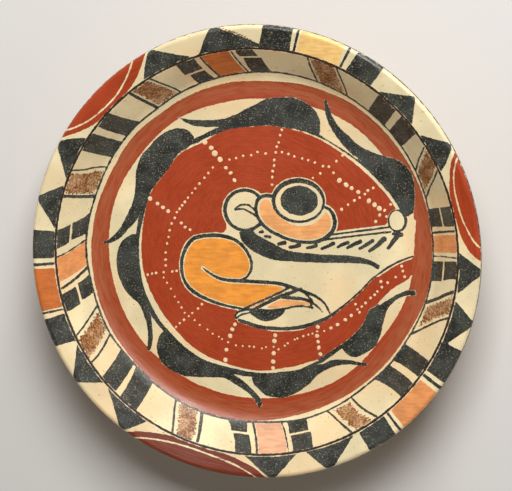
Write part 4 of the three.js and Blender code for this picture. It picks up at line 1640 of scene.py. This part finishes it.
def build_lamps():
    stage = bpy.context.scene.plate_stage
    flat = KEY_REACH * math.cos(stage.key_height)
    key = (flat * math.cos(KEY_HEADING), flat * math.sin(KEY_HEADING),
           0.08 + KEY_REACH * math.sin(stage.key_height))
    soft_lamp("key_lamp", key, (0, 0, 0.07), KEY_SIDE, stage.key_power)
    soft_lamp("fill_lamp", FILL_PLACE, (0, 0, 0), FILL_SIDE, stage.fill_power)


def build_world():
    """Pale all round and dim overhead, as in a studio with a dark ceiling."""
    stage = bpy.context.scene.plate_stage
    world = bpy.data.worlds.new("studio")
    world.use_nodes = True
    tree = world.node_tree
    tree.nodes.clear()
    way = put(tree, "ShaderNodeTexCoord").outputs["Generated"]
    up = put(tree, "ShaderNodeSeparateXYZ", {0: way}).outputs["Z"]
    level = put(tree, "ShaderNodeMapRange", {
        "Value": up, "From Min": 0.15, "From Max": 0.75, "To Min": 0.8, "To Max": 0.1})
    strength = put(tree, "ShaderNodeMath", {0: level.outputs[0], 1: stage.world_light},
                   operation="MULTIPLY")
    light = put(tree, "ShaderNodeBackground", {"Color": (1.0, 0.92, 0.80, 1),
                                               "Strength": strength.outputs[0]})
    put(tree, "ShaderNodeOutputWorld", {0: light.outputs[0]})
    bpy.context.scene.world = world


# the picture's size in pixels, and where the plate's centre falls right of and above its middle
PICTURE = (512, 491)
PLATE_OFFSET = (-2.8, -9.3)


def build_camera():
    scene = bpy.context.scene
    stage = scene.plate_stage
    tilt, heading = stage.camera_tilt, stage.camera_heading
    back = Vector((math.sin(tilt) * math.cos(heading), math.sin(tilt) * math.sin(heading),
                   math.cos(tilt)))
    right = Vector((0, 1, 0)).cross(back).normalized()
    up = back.cross(right)
    data = bpy.data.cameras.new("camera")
    data.lens = stage.lens
    data.sensor_width = 36
    data.shift_x = -PLATE_OFFSET[0] / PICTURE[0]
    data.shift_y = -PLATE_OFFSET[1] / PICTURE[0]
    data.clip_end = 50
    camera = add_object("camera", data)
    place = Vector((0, 0, sizes().lip_height)) + back * stage.camera_distance
    camera.matrix_world = Matrix.Translation(place) @ Matrix((right, up, back)).transposed().to_4x4()
    scene.camera = camera
    scene.view_settings.view_transform = "Standard"


# Operators and panel


class PLATE_OT_floor(bpy.types.Operator):
    """Builds the painted floor with the serpent and its red ring"""

    bl_idname = "plate.floor"
    bl_label = "Painted floor"

    def execute(self, context):
        build_floor()
        return {"FINISHED"}


class PLATE_OT_wall(bpy.types.Operator):
    """Builds the flaring wall with its slanted blocks"""

    bl_idname = "plate.wall"
    bl_label = "Painted wall"

    def execute(self, context):
        build_wall()
        return {"FINISHED"}


class PLATE_OT_rim(bpy.types.Operator):
    """Builds the rim ledge with its triangles, half-discs and blocks"""

    bl_idname = "plate.rim"
    bl_label = "Painted rim"

    def execute(self, context):
        build_rim()
        return {"FINISHED"}


class PLATE_OT_dots(bpy.types.Operator):
    """Sets the raised dots of white slip on the floor"""

    bl_idname = "plate.dots"
    bl_label = "Slip dots"

    def execute(self, context):
        build_dots()
        return {"FINISHED"}


class PLATE_OT_feet(bpy.types.Operator):
    """Builds the three hollow feet with their vents"""

    bl_idname = "plate.feet"
    bl_label = "Feet"

    def execute(self, context):
        for number in FEET:
            build_foot(number)
        return {"FINISHED"}


class PLATE_OT_collars(bpy.types.Operator):
    """Builds the coils luted round the tops of the feet"""

    bl_idname = "plate.collars"
    bl_label = "Collars"

    def execute(self, context):
        for number in FEET:
            build_collar(number)
        return {"FINISHED"}


class PLATE_OT_pellets(bpy.types.Operator):
    """Builds the loose rattle pellets in the feet"""

    bl_idname = "plate.pellets"
    bl_label = "Rattle pellets"

    def execute(self, context):
        for number in FEET:
            for side in PELLETS:
                build_pellet(number, side)
        return {"FINISHED"}


class PLATE_OT_stage(bpy.types.Operator):
    """Sets the ground, the lamps, the world and the camera"""

    bl_idname = "plate.stage"
    bl_label = "Stage"

    def execute(self, context):
        build_ground()
        build_lamps()
        build_world()
        build_camera()
        return {"FINISHED"}


OPERATORS = (PLATE_OT_stage, PLATE_OT_floor, PLATE_OT_wall, PLATE_OT_rim, PLATE_OT_dots,
             PLATE_OT_feet, PLATE_OT_collars, PLATE_OT_pellets)


class PLATE_PT_panel(bpy.types.Panel):
    """Lists the plate's pieces and settings."""

    bl_label = "Painted plate"
    bl_idname = "PLATE_PT_panel"
    bl_space_type = "VIEW_3D"
    bl_region_type = "UI"
    bl_category = "Plate"

    def draw(self, context):
        for operator in OPERATORS:
            self.layout.operator(operator.bl_idname)
        scene = context.scene
        for group in (scene.plate_sizes, scene.slip_colours, scene.plate_stage):
            box = self.layout.box()
            for name in group.__annotations__:
                box.prop(group, name)


CLASSES = (PlateSizes, SlipColours, StageSettings, *OPERATORS, PLATE_PT_panel)


def register():
    for kind in CLASSES:
        bpy.utils.register_class(kind)
    bpy.types.Scene.plate_sizes = PointerProperty(type=PlateSizes)
    bpy.types.Scene.slip_colours = PointerProperty(type=SlipColours)
    bpy.types.Scene.plate_stage = PointerProperty(type=StageSettings)


def unregister():
    del bpy.types.Scene.plate_stage
    del bpy.types.Scene.slip_colours
    del bpy.types.Scene.plate_sizes
    for kind in reversed(CLASSES):
        bpy.utils.unregister_class(kind)


def main():
    register()
    bpy.ops.plate.stage()
    bpy.ops.plate.floor()
    bpy.ops.plate.wall()
    bpy.ops.plate.rim()
    bpy.ops.plate.dots()
    bpy.ops.plate.feet()
    bpy.ops.plate.collars()
    bpy.ops.plate.pellets()


if __name__ == "__main__":
    main()
